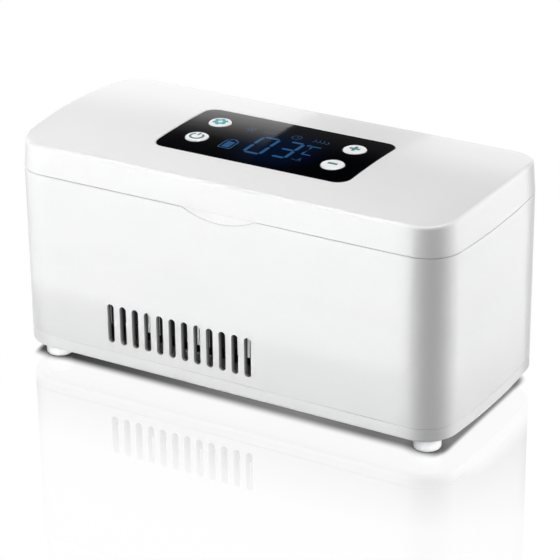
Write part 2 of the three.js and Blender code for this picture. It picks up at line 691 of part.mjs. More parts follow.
function makeTray() {
  const tub = prism(chamberShape(TRAY_SHEET), trayBottom, trayRimTop);
  const rim = prism(chamberShape(TRAY_SHEET + TRAY_RIM), trayRimBottom, trayRimTop);
  return cut(join(tub, rim), prism(chamberShape(0), trayFloor, trayRimTop + PAST));
}

const sensorX = VENT_CENTRE_X + SENSOR_DISTANCE;
const sensorZ = trayBottom - FIT - SENSOR_RADIUS;

function makeFoamJacket() {
  const room = SENSOR_RADIUS + FIT;
  const blockHalf = MODULE_SIZE / 2 + FIT;
  const blockRoom = COLD_BLOCK_LENGTH / 2 + FIT;
  return cut(
    prism(outline(ledgeInset + FIT), foamBottom, foamTop),
    prism(chamberShape(TRAY_SHEET + FIT), trayBottom - FIT, foamTop + PAST),
    block(VENT_CENTRE_X - blockRoom, VENT_CENTRE_X + blockRoom, -blockHalf, blockHalf,
      foamBottom - PAST, trayBottom),
    block(sensorX - SENSOR_LENGTH / 2 - FIT, sensorX + SENSOR_LENGTH / 2 + FIT, -room, room,
      sensorZ - room, trayBottom));
}

const clampScrews = signs.map((side) => VENT_CENTRE_X + side * CLAMP_SPACING / 2);

function makeColdBlock() {
  const plate = roundedRectangle(COLD_BLOCK_LENGTH, MODULE_SIZE, PLATE_RADIUS, VENT_CENTRE_X);
  return cut(
    prism(plate, blockBottom, blockTop),
    ...clampScrews.map((x) => rod(SCREW_HOLE_RADIUS, blockBottom - PAST,
      blockBottom + CLAMP_DEPTH + FIT, x, 0, SCREW_STEPS)));
}

// Two ceramic plates with the semiconductor legs set back between them
function makeModule() {
  const half = MODULE_SIZE / 2;
  const plate = (inset, bottom, top) => block(VENT_CENTRE_X - half + inset, VENT_CENTRE_X + half - inset,
    -half + inset, half - inset, bottom, top);
  return join(
    plate(0, moduleBottom, moduleBottom + MODULE_CERAMIC),
    plate(MODULE_REVEAL, moduleBottom, moduleTop),
    plate(0, moduleTop - MODULE_CERAMIC, moduleTop));
}

// An extruded heat sink: a plate with a comb of fins hanging from it, milled out round the clamp screws
function makeHeatSink() {
  const half = sinkLength / 2;
  const comb = [[VENT_CENTRE_X - half, sinkTop], [VENT_CENTRE_X - half, sinkPlateBottom]];
  for (let i = 0; i < FIN_COUNT; i += 1) {
    const x = VENT_CENTRE_X + (i - (FIN_COUNT - 1) / 2) * FIN_PITCH;
    const [left, right] = [x - FIN_THICKNESS / 2, x + FIN_THICKNESS / 2];
    comb.push([left, sinkPlateBottom], [left, finBottom], [right, finBottom], [right, sinkPlateBottom]);
  }
  comb.push([VENT_CENTRE_X + half, sinkPlateBottom], [VENT_CENTRE_X + half, sinkTop]);
  return cut(
    throughY(polygon(comb), -sinkHalfDepth, sinkHalfDepth),
    ...clampScrews.map((x) => rod(HEAD_HOLE_RADIUS + FIT, finBottom - PAST, sinkPlateBottom, x, 0)),
    ...clampScrews.map((x) => rod(SCREW_HOLE_RADIUS, finBottom, sinkTop + PAST, x, 0, SCREW_STEPS)));
}

// Fan

const fanScrews = corners(fanScrewOffset, fanScrewOffset).map(([dx, dy]) => [VENT_CENTRE_X + dx, dy]);

function makeFanFrame() {
  const hub = rod(FAN_HUB_RADIUS, fanBottom, fanBottom + FAN_PLATE, VENT_CENTRE_X);
  const strut = FAN_STRUT_WIDTH / 2;
  const reach = FAN_DUCT_RADIUS + PAST;
  const struts = [
    block(VENT_CENTRE_X - reach, VENT_CENTRE_X + reach, -strut, strut, fanBottom, fanBottom + FAN_PLATE),
    block(VENT_CENTRE_X - strut, VENT_CENTRE_X + strut, -reach, reach, fanBottom, fanBottom + FAN_PLATE),
  ];
  const frame = cut(
    prism(roundedRectangle(FAN_SIZE, FAN_SIZE, FAN_CORNER_RADIUS, VENT_CENTRE_X), fanBottom, fanTop),
    rod(FAN_DUCT_RADIUS, fanBottom - PAST, fanTop + PAST, VENT_CENTRE_X, 0, 2 * ROUND_STEPS));
  return cut(
    join(frame, hub, ...struts),
    rod(FAN_SHAFT_RADIUS + FIT, fanBottom - PAST, fanBottom + FAN_PLATE + PAST,
      VENT_CENTRE_X, 0, SCREW_STEPS),
    ...fanScrews.map(([x, y]) => rod(SCREW_HOLE_RADIUS, fanBottom - PAST, fanTop + PAST,
      x, y, SCREW_STEPS)));
}

// A blade from inside the hub out to its tip, its pitch easing off along the way
function makeBlade(turn, bottom, top) {
  const tip = FAN_DUCT_RADIUS - FAN_TIP_GAP;
  const root = FAN_HUB_RADIUS - PAST;
  const rings = [];
  for (let i = 0; i <= BLADE_SECTIONS; i += 1) {
    const share = i / BLADE_SECTIONS;
    const radius = root + (tip - root) * share;
    const pitch = THREE.MathUtils.degToRad(BLADE_PITCH_HUB + (BLADE_PITCH_TIP - BLADE_PITCH_HUB) * share);
    const halfChord = Math.min(BLADE_CHORD / 2, (top - bottom - BLADE_THICKNESS) / 2 / Math.sin(pitch));
    const along = new THREE.Vector2(Math.cos(pitch), Math.sin(pitch));
    const across = new THREE.Vector2(-along.y, along.x);
    const loop = [[1, -1], [1, 1], [-1, 1], [-1, -1]].map(([u, v]) => {
      const offset = along.clone().multiplyScalar(u * halfChord);
      offset.addScaledVector(across, v * BLADE_THICKNESS / 2);
      const sweep = turn + offset.x / radius;
      const height = (bottom + top) / 2 + offset.y;
      return new THREE.Vector3(radius * Math.cos(sweep), radius * Math.sin(sweep), height);
    });
    rings.push(loop);
  }
  return skin(rings);
}

function makeFanRotor() {
  const bottom = FAN_PLATE + FIT;
  const top = FAN_THICKNESS - FIT;
  const hub = join(
    rod(FAN_HUB_RADIUS, bottom, top),
    rod(FAN_SHAFT_RADIUS, FIT, bottom + PAST, 0, 0, SCREW_STEPS));
  const blades = Array.from({ length: BLADE_COUNT }, (_, i) =>
    makeBlade(2 * Math.PI * i / BLADE_COUNT, bottom, top));
  return join(hub, ...blades);
}

// Main board with its larger parts, and the power inlet on its rear edge

function makeMainBoard() {
  const sheet = roundedRectangle(MAIN_BOARD_LENGTH, 2 * mainBoardHalfWidth, PLATE_RADIUS, MAIN_BOARD_X);
  const root = mainBoardTop - BOARD_THICKNESS / 2;
  const partTop = mainBoardTop + CAPACITOR_HEIGHT;
  const [x, half] = [MAIN_BOARD_X, CHIP_SIZE / 2];
  const holes = corners(MAIN_BOARD_POST_SPACING / 2, mainBoardPostY);
  return cut(
    join(
      prism(sheet, mainBoardBottom, mainBoardTop),
      rod(CAPACITOR_RADIUS, root, partTop, x + CHIP_SIZE, -CHIP_SIZE),
      rod(CAPACITOR_RADIUS, root, partTop, x + CHIP_SIZE + 3 * CAPACITOR_RADIUS, -CHIP_SIZE),
      block(x - half, x + half, -half, half, root, mainBoardTop + CHIP_HEIGHT),
      block(x - 3 * half, x - 2 * half, -3 * half, -half, root, partTop)),
    ...holes.map(([dx, y]) => rod(SCREW_HOLE_RADIUS, mainBoardBottom - PAST, mainBoardTop + PAST,
      MAIN_BOARD_X + dx, y, SCREW_STEPS)));
}

function makeJack() {
  const front = halfWidth - WALL - FIT - JACK_DEPTH;
  const back = front + JACK_DEPTH;
  const body = join(
    block(JACK_X - JACK_WIDTH / 2, JACK_X + JACK_WIDTH / 2, front, back, jackBottom, jackTop),
    rodAlongY(JACK_NOSE_RADIUS, back - PAST, halfWidth, JACK_X, jackZ));
  const socket = rodAlongY(JACK_BORE_RADIUS, back - JACK_BORE_DEPTH, halfWidth + PAST, JACK_X, jackZ);
  const pin = rodAlongY(JACK_PIN_RADIUS, front + PAST, halfWidth - PAST, JACK_X, jackZ, SCREW_STEPS);
  return join(cut(body, socket), pin);
}

// A round lead along a smooth path through its points
function makeLead(points) {
  const path = new THREE.CatmullRomCurve3(points.map(([x, y, z]) => new THREE.Vector3(x, y, z)));
  const section = new THREE.Shape();
  section.absarc(0, 0, LEAD_RADIUS, 0, 2 * Math.PI);
  const steps = Math.ceil(path.getLength() / (LEAD_STEP * LEAD_RADIUS));
  const settings = { steps, extrudePath: path, curveSegments: LEAD_SIDES / 2, bevelEnabled: false };
  return solidFrom(new THREE.ExtrudeGeometry(section, settings));
}

// Out of the fan's right side, under the fins and up to the underside of the main board
function makeFanLead() {
  const x = MAIN_BOARD_X - MAIN_BOARD_LENGTH / 2 + 4 * LEAD_RADIUS;
  const y = -batteryOpening.width / 2 - 4 * LEAD_RADIUS;
  const z = fanBottom + FAN_THICKNESS / 2;
  const start = VENT_CENTRE_X + FAN_SIZE / 2 + FIT;
  const rise = mainBoardBottom - FIT - z;
  return makeLead([[start, y, z], [(start + x) / 2, y, z], [x, y, z + 0.25 * rise],
    [x, y, z + 0.6 * rise], [x, y, z + rise]]);
}

// From between the module's plates, over the sink and down onto the main board
function makeModuleLead() {
  const start = VENT_CENTRE_X + MODULE_SIZE / 2 + FIT;
  const end = MAIN_BOARD_X - MAIN_BOARD_LENGTH / 2 + MAIN_BOARD_POST_SPACING / 4;
  const y = MODULE_SIZE / 5;
  const z = (sinkTop + foamBottom) / 2;
  const bottom = mainBoardTop + FIT;
  return makeLead([[start, y, z], [(2 * start + end) / 3, y, z], [end - 4 * LEAD_RADIUS, y, z],
    [end, y, (z + bottom) / 2], [end, y, bottom]]);
}

// From the top of the battery pack to the underside of the main board
function makeBatteryLead() {
  const [bottom, top] = [batteryBottom + 2 * CELL_RADIUS, mainBoardBottom - FIT];
  const x = BATTERY_X + CELL_LENGTH / 3;
  return makeLead([[x, 0, bottom], [x, 0, (3 * bottom + top) / 4],
    [x + LEAD_RADIUS, 0, (bottom + 3 * top) / 4], [x + LEAD_RADIUS, 0, top]]);
}

// Lid

const surface = (y) => lidEdge + crown(y);
const roofOpening = () => roundedRectangle(
  WINDOW_LENGTH - 2 * windowLedge, WINDOW_WIDTH - 2 * windowLedge, WINDOW_RADIUS, 0, WINDOW_Y);
const windowPanel = (growth) => roundedRectangle(
  WINDOW_LENGTH + 2 * growth, WINDOW_WIDTH + 2 * growth, WINDOW_RADIUS + growth, 0, WINDOW_Y);

function makeLidShell() {
  const edge = Array.from({ length: EDGE_STEPS + 1 }, (_, i) => {
    const angle = i / EDGE_STEPS * Math.PI / 2;
    return outlineLoop(LID_LEAN + LID_EDGE_RADIUS * (1 - Math.cos(angle)),
      lidEdge - LID_EDGE_RADIUS * (1 - Math.sin(angle)), true);
  });
  const outer = skin([outlineLoop(0, lidBottom), ...edge]);
  const hollow = skin([outlineLoop(WALL, lidBottom - PAST), outlineLoop(WALL, lidEdge - LID_ROOF, true)]);
  const pocket = prism(windowPanel(FIT), lidBottom, lidEdge + LID_CROWN + PAST)
    .intersect(crownLayer(-WINDOW_SINK - WINDOW_THICKNESS - FIT, LID_CROWN));
  const linerPosts = corners(footX, footY);
  const boardPosts = corners(controlPostX, controlPostY).map(([x, y]) => [x, y + WINDOW_Y]);
  const roofMiddle = (y) => surface(y) - LID_ROOF / 2;
  const posted = join(
    cut(outer, hollow),
    ...linerPosts.map(([x, y]) => rod(POST_RADIUS, linerTop + FIT, roofMiddle(y), x, y, POST_STEPS)),
    ...boardPosts.map(([x, y]) => rod(CONTROL_POST_RADIUS, controlBoardTop + FIT, roofMiddle(y),
      x, y, POST_STEPS)));
  const trimmed = cut(
    posted,
    pocket,
    prism(roofOpening(), lidBottom, lidEdge + LID_CROWN + PAST),
    ...linerPosts.map(([x, y]) => rod(SCREW_HOLE_RADIUS, linerTop,
      linerBottom + LID_SCREW_LENGTH + FIT, x, y, SCREW_STEPS)),
    ...boardPosts.map(([x, y]) => rod(SCREW_HOLE_RADIUS, controlBoardTop,
      controlBoardBottom + BOARD_SCREW_LENGTH, x, y, SCREW_STEPS)),
    ...signs.flatMap(lugSpans).map(barrelRoom));
  const knuckles = signs.map(knuckleSpan);
  return cut(join(trimmed, ...knuckles.map((span) => barrel(span, 1))), ...knuckles.map(pinHole));
}

const buttonPlaces = {
  settings: [-buttonX, buttonRearY],
  power: [-buttonX, buttonFrontY],
  plus: [buttonX, buttonRearY],
  minus: [buttonX, buttonFrontY],
};

function makeWindow() {
  const panel = prism(windowPanel(0), lidBottom, lidEdge + LID_CROWN + PAST)
    .intersect(crownLayer(-WINDOW_SINK - WINDOW_THICKNESS, -WINDOW_SINK));
  const holes = Object.values(buttonPlaces).map(([x, y]) =>
    rod(BUTTON_RADIUS + FIT, lidBottom, lidEdge + LID_CROWN + PAST, x, y));
  return cut(panel, ...holes);
}

// Heights of a button and its switch, measured from the lid's surface at the button
const flangeTop = -WINDOW_SINK - WINDOW_THICKNESS - FLANGE_DROP;
const flangeBottom = flangeTop - FLANGE_THICKNESS;
const plungerTop = flangeBottom + PLUNGER_REACH;
const boreTop = plungerTop + BUTTON_TRAVEL + FIT;
const switchTop = flangeBottom - BUTTON_TRAVEL - FIT;

function makeButton() {
  const bore = PLUNGER_RADIUS + FIT;
  const shoulder = BUTTON_PROUD - BUTTON_EDGE_RADIUS;
  const edge = Array.from({ length: SMALL_EDGE_STEPS + 1 }, (_, i) => {
    const angle = i / SMALL_EDGE_STEPS * Math.PI / 2;
    return [BUTTON_RADIUS - BUTTON_EDGE_RADIUS * (1 - Math.cos(angle)),
      shoulder + BUTTON_EDGE_RADIUS * Math.sin(angle)];
  });
  return turned([[0, boreTop], [bore, boreTop], [bore, flangeBottom],
    [flangeRadius, flangeBottom], [flangeRadius, flangeTop], [BUTTON_RADIUS, flangeTop],
    ...edge, [0, BUTTON_PROUD + BUTTON_DOME]]);
}

function makeSwitch(y) {
  const bottom = controlBoardTop + FIT;
  const top = surface(y) + switchTop;
  const half = SWITCH_SIZE / 2;
  return join(
    block(-half, half, -half, half, bottom, top),
    rod(PLUNGER_RADIUS, top - PAST, surface(y) + plungerTop, 0, 0, SCREW_STEPS));
}

function makeLcd() {
  const bottom = controlBoardTop + FIT;
  const rear = Math.abs(WINDOW_Y) + LCD_WIDTH / 2;
  const top = surface(rear) - WINDOW_SINK - WINDOW_THICKNESS - FIT;
  const glass = MODULE_CERAMIC;
  const [length, width] = [LCD_LENGTH - 2 * glass, LCD_WIDTH - 2 * glass];
  return join(
    prism(roundedRectangle(LCD_LENGTH, LCD_WIDTH, glass, 0, WINDOW_Y), bottom, top - glass),
    prism(roundedRectangle(length, width, glass, 0, WINDOW_Y), top - 2 * glass, top));
}

function makeControlBoard() {
  const length = 2 * (controlPostX + CONTROL_POST_RADIUS);
  const width = 2 * (controlPostY + CONTROL_POST_RADIUS);
  const sheet = roundedRectangle(length, width, CONTROL_POST_RADIUS, 0, WINDOW_Y);
  return cut(
    prism(sheet, controlBoardBottom, controlBoardTop),
    ...corners(controlPostX, controlPostY).map(([x, y]) => rod(SCREW_HOLE_RADIUS,
      controlBoardBottom - PAST, controlBoardTop + PAST, x, y + WINDOW_Y, SCREW_STEPS)));
}

// The liner closes the lid from below; its hollow plug drops into the chamber mouth and holds the foam
const plugShape = (growth) => chamberShape(growth - PLUG_GAP);

function makeLidLiner() {
  const bossBottom = deckTop + FIT;
  return cut(
    join(
      prism(outline(lipInset), linerBottom, linerTop),
      prism(plugShape(0), plugBottom, linerBottom + LINER / 2),
      rod(magnetBossRadius, bossBottom, linerBottom + LINER / 2, 0, magnetY)),
    prism(plugShape(-PLUG_WALL), plugBottom + PLUG_WALL, linerTop + PAST),
    rod(MAGNET_RADIUS + FIT, bossBottom + MAGNET_SKIN, linerTop + PAST, 0, magnetY),
    ...signs.map((side) => barrelRoom(hingeSpan(side))),
    ...corners(footX, footY).map(([x, y]) =>
      rod(SCREW_HOLE_RADIUS, linerBottom - PAST, linerTop + PAST, x, y, SCREW_STEPS)));
}

function makeLidFoam() {
  const top = controlBoardBottom - SCREW_HEAD_HEIGHT - 2 * FIT;
  return prism(plugShape(-PLUG_WALL - FIT), plugBottom + PLUG_WALL + FIT, top);
}

function makeGasket() {
  const [bottom, top] = [deckTop + FIT, linerBottom - FIT];
  return prism(plugShape(FIT + GASKET_WIDTH), bottom, top)
    .subtract(prism(plugShape(FIT), bottom - PAST, top + PAST));
}

// Assembly

const cooler = new THREE.Group();
const base = new THREE.Group();
const lid = new THREE.Group();
cooler.add(base, lid);

// The hinge barrels stand out behind the case, so the case sits forward by half of that
cooler.position.y = -BARREL_RADIUS / 2;

addPart(base, "housing", makeHousing(), gloss_white);
addPart(base, "bottom_cover", makeBottomCover(), satin_white);
for (const [rowName, sy] of [["front", -1], ["rear", 1]]) {
  for (const [sideName, sx] of [["left", -1], ["right", 1]]) {
    const end = `${rowName}_${sideName}`;
    addPart(base, `foot_${end}`, makeFoot(), foot_white, sx * footX, sy * footY);
    addPart(base, `case_screw_${end}`, makeScrew(CASE_SCREW_LENGTH), steel,
      sx * POST_X, sy * postY, screwSeat - FIT);
    addPart(base, `fan_screw_${end}`, makeScrew(FAN_THICKNESS + FIT + FIN_HEIGHT / 2), steel,
      VENT_CENTRE_X + sx * fanScrewOffset, sy * fanScrewOffset, fanBottom - FIT);
    addPart(lid, `lid_screw_${end}`, makeScrew(LID_SCREW_LENGTH), steel,
      sx * footX, sy * footY, linerBottom - FIT);
  }
}
addPart(base, "battery_cover", makeBatteryCover(), satin_white);
addPart(base, "battery_cover_screw", makeBatteryScrew(), steel, batteryScrewX, 0, baseBottom);
addPart(base, "battery_pack", makeBatteryPack(), cell_blue);

addPart(base, "deck_frame", makeDeck(), satin_white);
addPart(base, "cold_tray", makeTray(), chamber_metal);
addPart(base, "foam_jacket", makeFoamJacket(), foam_white);
addPart(base, "cold_block", makeColdBlock(), chamber_metal);
addPart(base, "thermoelectric_module", makeModule(), ceramic_white);
addPart(base, "heat_sink", makeHeatSink(), fin_metal);
addPart(base, "temperature_sensor", rodAlongX(SENSOR_RADIUS, sensorX - SENSOR_LENGTH / 2,
  sensorX + SENSOR_LENGTH / 2, 0, sensorZ, SCREW_STEPS), part_black);
const magnet = rod(MAGNET_RADIUS, 0, MAGNET_HEIGHT);
addPart(base, "deck_magnet", magnet, steel, 0, magnetY, deckTop - MAGNET_SKIN - FIT - MAGNET_HEIGHT);

for (const [sideName, side] of [["left", -1], ["right", 1]]) {
  const clampLength = SINK_PLATE + MODULE_THICKNESS + 3 * FIT + CLAMP_DEPTH;
  addPart(base, `clamp_screw_${sideName}`, makeScrew(clampLength), steel,
    VENT_CENTRE_X + side * CLAMP_SPACING / 2, 0, sinkPlateBottom - FIT);
  const boardScrew = addPart(base, `main_board_screw_${sideName}`, makeScrew(BOARD_SCREW_LENGTH), steel,
    MAIN_BOARD_X + side * MAIN_BOARD_POST_SPACING / 2, -side * mainBoardPostY, mainBoardTop + FIT);
  boardScrew.rotation.x = Math.PI;
  addPart(lid, `control_board_screw_${sideName}`, makeScrew(BOARD_SCREW_LENGTH - FIT), steel,
    side * controlPostX, side * controlPostY + WINDOW_Y, controlBoardBottom - FIT);
  const pin = rodAlongX(PIN_RADIUS, ...hingeSpan(side), hingeY, hingeZ, SCREW_STEPS);
  addPart(base, `hinge_pin_${sideName}`, pin, steel);
}

addPart(base, "fan_frame", makeFanFrame(), fan_black);
addPart(base, "fan_rotor", makeFanRotor(), fan_black, VENT_CENTRE_X, 0, fanBottom);
addPart(base, "main_board", makeMainBoard(), board_green);
addPart(base, "dc_jack", makeJack(), part_black);
addPart(base, "fan_lead", makeFanLead(), part_black);
addPart(base, "module_lead", makeModuleLead(), lead_red);
addPart(base, "battery_lead", makeBatteryLead(), lead_red);

addPart(lid, "lid_shell", makeLidShell(), gloss_white);
addPart(lid, "display_window", makeWindow(), window_black);
addPart(lid, "lcd_module", makeLcd(), part_black);
addPart(lid, "control_board", makeControlBoard(), board_green);
for (const [name, [x, y]] of Object.entries(buttonPlaces)) {
  addPart(lid, `button_${name}`, makeButton(), button_white, x, y, surface(y));
  addPart(lid, `tact_switch_${name}`, makeSwitch(y), part_black, x, y);
}
addPart(lid, "lid_liner", makeLidLiner(), satin_white);
addPart(lid, "lid_foam", makeLidFoam(), foam_white);
addPart(lid, "lid_gasket", makeGasket(), seal_grey);
addPart(lid, "lid_magnet", magnet, steel, 0, magnetY, deckTop + MAGNET_SKIN + 2 * FIT);

export default cooler;
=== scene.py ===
# %% [markdown]
# # Insulin cooling case
# A table-top cooler for insulin pens: a glossy white box on four short feet, a hinged lid that carries a
# black display window with four push buttons, and vent slots low on the front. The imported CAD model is
# the frame: it gives every size and place here, and each finished piece rides on one of its bodies.

import json
import math

import bmesh
import bpy
from mathutils import Matrix, Vector


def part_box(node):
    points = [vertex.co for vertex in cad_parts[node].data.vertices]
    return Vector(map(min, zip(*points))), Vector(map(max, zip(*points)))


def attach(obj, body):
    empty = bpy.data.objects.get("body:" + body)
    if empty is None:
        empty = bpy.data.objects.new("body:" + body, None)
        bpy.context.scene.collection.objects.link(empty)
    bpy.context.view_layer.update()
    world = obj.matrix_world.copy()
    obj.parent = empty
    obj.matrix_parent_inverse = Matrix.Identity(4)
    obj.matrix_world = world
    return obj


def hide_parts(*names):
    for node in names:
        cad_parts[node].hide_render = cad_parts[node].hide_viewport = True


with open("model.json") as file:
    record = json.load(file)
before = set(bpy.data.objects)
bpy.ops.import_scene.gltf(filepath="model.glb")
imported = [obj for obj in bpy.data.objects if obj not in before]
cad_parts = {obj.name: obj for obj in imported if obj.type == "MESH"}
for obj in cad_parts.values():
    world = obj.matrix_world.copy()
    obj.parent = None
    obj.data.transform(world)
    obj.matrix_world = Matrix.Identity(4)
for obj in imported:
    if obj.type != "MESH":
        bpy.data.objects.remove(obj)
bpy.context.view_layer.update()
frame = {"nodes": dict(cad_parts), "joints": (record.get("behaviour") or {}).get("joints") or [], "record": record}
joints = {joint["name"]: joint for joint in frame["joints"]}
MM = 0.001

# %% [markdown]
# ## Sizes
# The boxes of the CAD nodes give the case's length, width and levels. The few sizes that a box can't
# tell, such as a wall or a corner radius, are named here in millimetres turned into metres.

# %% Sizes from the frame
base_low, base_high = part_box("bottom_cover")
LENGTH = base_high.x - base_low.x
WIDTH = base_high.y - base_low.y
FRONT, REAR = base_low.y, base_high.y
MIDDLE_Y = (FRONT + REAR) / 2
BASE_BOTTOM = base_low.z
HINGE = Vector(joints["lid_hinge"]["pos_m"])
SEAM_GAP = 0.24 * MM
SEAM = HINGE.z - SEAM_GAP / 2
LID_BOTTOM = HINGE.z + SEAM_GAP / 2
LID_CROWN = 2.6 * MM
LID_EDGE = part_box("lid_shell")[1].z - LID_CROWN
BASE_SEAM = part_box("housing")[0].z
BASE_FLOOR = 2.2 * MM
FLOOR_TOP = BASE_BOTTOM + BASE_FLOOR
WALL = 2.5 * MM
FIT = 0.3 * MM
CORNER_RADIUS = 15 * MM
END_BOW_RADIUS = 360 * MM
corner_y = WIDTH / 2 - CORNER_RADIUS
bow_centre = LENGTH / 2 - END_BOW_RADIUS
bow_angle = math.asin(corner_y / (END_BOW_RADIUS - CORNER_RADIUS))
corner_x = bow_centre + (END_BOW_RADIUS - CORNER_RADIUS) * math.cos(bow_angle)
print("case", [round(side / MM, 1) for side in (LENGTH, WIDTH)], "mm, seam at", round(SEAM / MM, 1))

# %% [markdown]
# ## Camera
# The photograph was taken with a long lens from the front right, a little above the lid. The place, the
# direction and the lens below put the case's corners where the photograph shows them.

# %% Camera at the photograph's angle
LENS = 161.94
SENSOR_WIDTH = 36
NEAREST, FARTHEST = 0.01, 200
CAMERA_PLACE = Vector((489.152, -829.444, 477.315)) * MM
CAMERA_RIGHT = Vector((0.8636069, 0.50408365, -0.0090994))
CAMERA_UP = Vector((-0.2016821, 0.36195494, 0.910117))


def make_camera():
    camera = bpy.data.objects.new("camera", bpy.data.cameras.new("camera"))
    camera.data.lens = LENS
    camera.data.sensor_width = SENSOR_WIDTH
    camera.data.clip_start = NEAREST
    camera.data.clip_end = FARTHEST
    turn = Matrix((CAMERA_RIGHT, CAMERA_UP, CAMERA_RIGHT.cross(CAMERA_UP))).transposed()
    camera.matrix_world = Matrix.Translation(CAMERA_PLACE) @ turn.to_4x4()
    bpy.context.scene.collection.objects.link(camera)
    bpy.context.scene.camera = camera
    return camera


camera = make_camera()
print("camera", [round(value, 3) for value in camera.location], "lens", LENS)

# %% [markdown]
# ## Node helpers
# Shader trees and Geometry Nodes trees are wired the same way: make a node, set its properties, and give
# each input either a value or the output of another node.

# %% Wire nodes


def node(tree, kind, inputs=None, **settings):
    made = tree.nodes.new(kind)
    for key, value in settings.items():
        setattr(made, key, value)
    for key, value in (inputs or {}).items():
        if isinstance(value, bpy.types.NodeSocket):
            tree.links.new(value, made.inputs[key])
        else:
            made.inputs[key].default_value = value
    return made


def calculate(tree, operation, *values):
    return node(tree, "ShaderNodeMath", dict(enumerate(values)), operation=operation).outputs[0]


def levels(tree, value, stops):
    ramp = node(tree, "ShaderNodeValToRGB", {0: value})
    elements = ramp.color_ramp.elements
    brightest = max(stops.values())
    for position, light in stops.items():
        share = light / brightest
        elements.new(position).color = (share, share, share, 1)
    elements.remove(elements[-1])
    elements.remove(elements[0])
    return calculate(tree, "MULTIPLY", ramp.outputs[0], brightest)


def split(tree, vector):
    return node(tree, "ShaderNodeSeparateXYZ", {0: vector}).outputs


print("node helpers ready")

# %% [markdown]
# ## Studio
# The case was photographed in soft light before plain white. The sky here is split by the kind of ray, which
# is easier to set than many lamps: an even dome gives the diffuse light, the glossy faces mirror a sky whose
# light is given by its height, from 0 at the horizon to 1 overhead, and the camera sees white. The bright
# band low in the sky shows in the window, and the patch overhead draws a thin line along the lid's edge.

# %% World
SKY = {0.255: 1.15, 0.30: 0.80, 0.33: 0.48, 0.36: 0.20, 0.39: 0.05, 0.42: 0.02, 0.46: 0.01,
       0.63: 0.02, 0.80: 0.36, 0.88: 0.5, 0.93: 3.6}
DOME = 0.54


def make_world():
    world = bpy.data.worlds.new("studio")
    bpy.context.scene.world = world
    world.use_nodes = True
    tree = world.node_tree
    tree.nodes.clear()
    direction = split(tree, node(tree, "ShaderNodeTexCoord").outputs["Generated"])
    glow = levels(tree, direction["Z"], SKY)
    rays = node(tree, "ShaderNodeLightPath").outputs
    mirrored = calculate(tree, "MULTIPLY", rays["Is Glossy Ray"], calculate(tree, "SUBTRACT", glow, DOME))
    white = calculate(tree, "MAXIMUM", rays["Is Singular Ray"], rays["Is Camera Ray"])
    strength = calculate(tree, "MAXIMUM", calculate(tree, "ADD", mirrored, DOME), white)
    background = node(tree, "ShaderNodeBackground", {"Color": (1, 1, 1, 1), "Strength": strength})
    output = node(tree, "ShaderNodeOutputWorld")
    tree.links.new(background.outputs[0], output.inputs[0])
    world.cycles.sampling_method = "NONE"


make_world()
bpy.context.scene.view_settings.view_transform = "Standard"
print("sky of", len(SKY), "stops over a dome of", DOME)

# %% [markdown]
# ## Lamps and panels
# A lamp from the front left, one from behind on the right and one above light the whole case. Panels with a
# grid, which let their light out almost parallel, light the front, the right end and the feet, so the rounded
# corner between them stays darker. A panel is split into strips, each given by its lowest and highest
# millimetre and its share of the light. The panel for the foot of the front wall shines from the camera's
# side, so its light reaches what shows through the slots. A thin flag dims part of the sky in the window.

# %% Lamps and panels
LAMPS = {
    "front_left": {"place": (-0.76, -0.66, 0.56), "width": 0.36, "power": 3.1},
    "rear_right": {"place": (1.80, 1.95, 1.10), "width": 0.80, "power": 20.0},
    "overhead": {"place": (-0.25, -0.01, 0.60), "width": 0.30, "power": 1.04},
}
LAMP_AIM = Vector((0, 0, LID_EDGE / 2))
PANEL_SPREAD = math.radians(2)
PANEL_AWAY = 0.45
FRONT_STRIPS = {"middle": (34, 62, 0.95), "high": (62, 116, 1.0)}
SLOT_STRIPS = {"low": (-10, 34, 0.84)}
END_STRIPS = {"low": (-10, 30, 0.72), "middle": (30, 62, 0.92), "high": (62, 116, 1.0)}
FOOT_STRIPS = {"floor": (0.2, 4.5, 1.0)}
PANELS = {
    "front": {"facing": (0, 1, 0), "middle": (-4 * MM, FRONT, 0), "away": PANEL_AWAY,
              "width": 182 * MM, "light": 1.7, "strips": FRONT_STRIPS},
    "slots": {"facing": (-0.56, 0.83, 0), "middle": (-4 * MM, FRONT, 0), "away": PANEL_AWAY,
              "width": 151 * MM, "light": 1.7, "strips": SLOT_STRIPS},
    "right": {"facing": (-1, 0, 0), "middle": (LENGTH / 2, MIDDLE_Y - 5 * MM, 0), "away": PANEL_AWAY,
              "width": 68 * MM, "light": 1.5, "strips": END_STRIPS},
    "feet": {"facing": (-1, 1, 0), "middle": (0, 0, 0), "away": 0.22,
             "width": 300 * MM, "light": 2.2, "strips": FOOT_STRIPS},
}


def make_lamp(name, place, aim, width, power):
    lamp = bpy.data.objects.new(name, bpy.data.lights.new(name, "AREA"))
    lamp.data.energy = power
    lamp.data.size = width
    lamp.location = place
    lamp.visible_camera = False
    lamp.visible_glossy = False
    lamp.rotation_euler = (lamp.location - Vector(aim)).to_track_quat("Z", "Y").to_euler()
    bpy.context.scene.collection.objects.link(lamp)
    return lamp


def make_panel(name, facing, middle, away, width, light, strips):
    ahead = Vector(facing).normalized() * away
    for strip, (low, high, share) in strips.items():
        aim = Vector(middle) + Vector((0, 0, (low + high) / 2 * MM))
        height = (high - low) * MM
        lamp = make_lamp(name + "_" + strip, aim - ahead, aim, width, light * share * width * height)
        lamp.data.shape = "RECTANGLE"
        lamp.data.size_y = height
        lamp.data.spread = PANEL_SPREAD


for name, settings in LAMPS.items():
    make_lamp(name, aim=LAMP_AIM, **settings)
for name, settings in PANELS.items():
    make_panel(name, **settings)
print("lamps", list(LAMPS), "panels", list(PANELS))

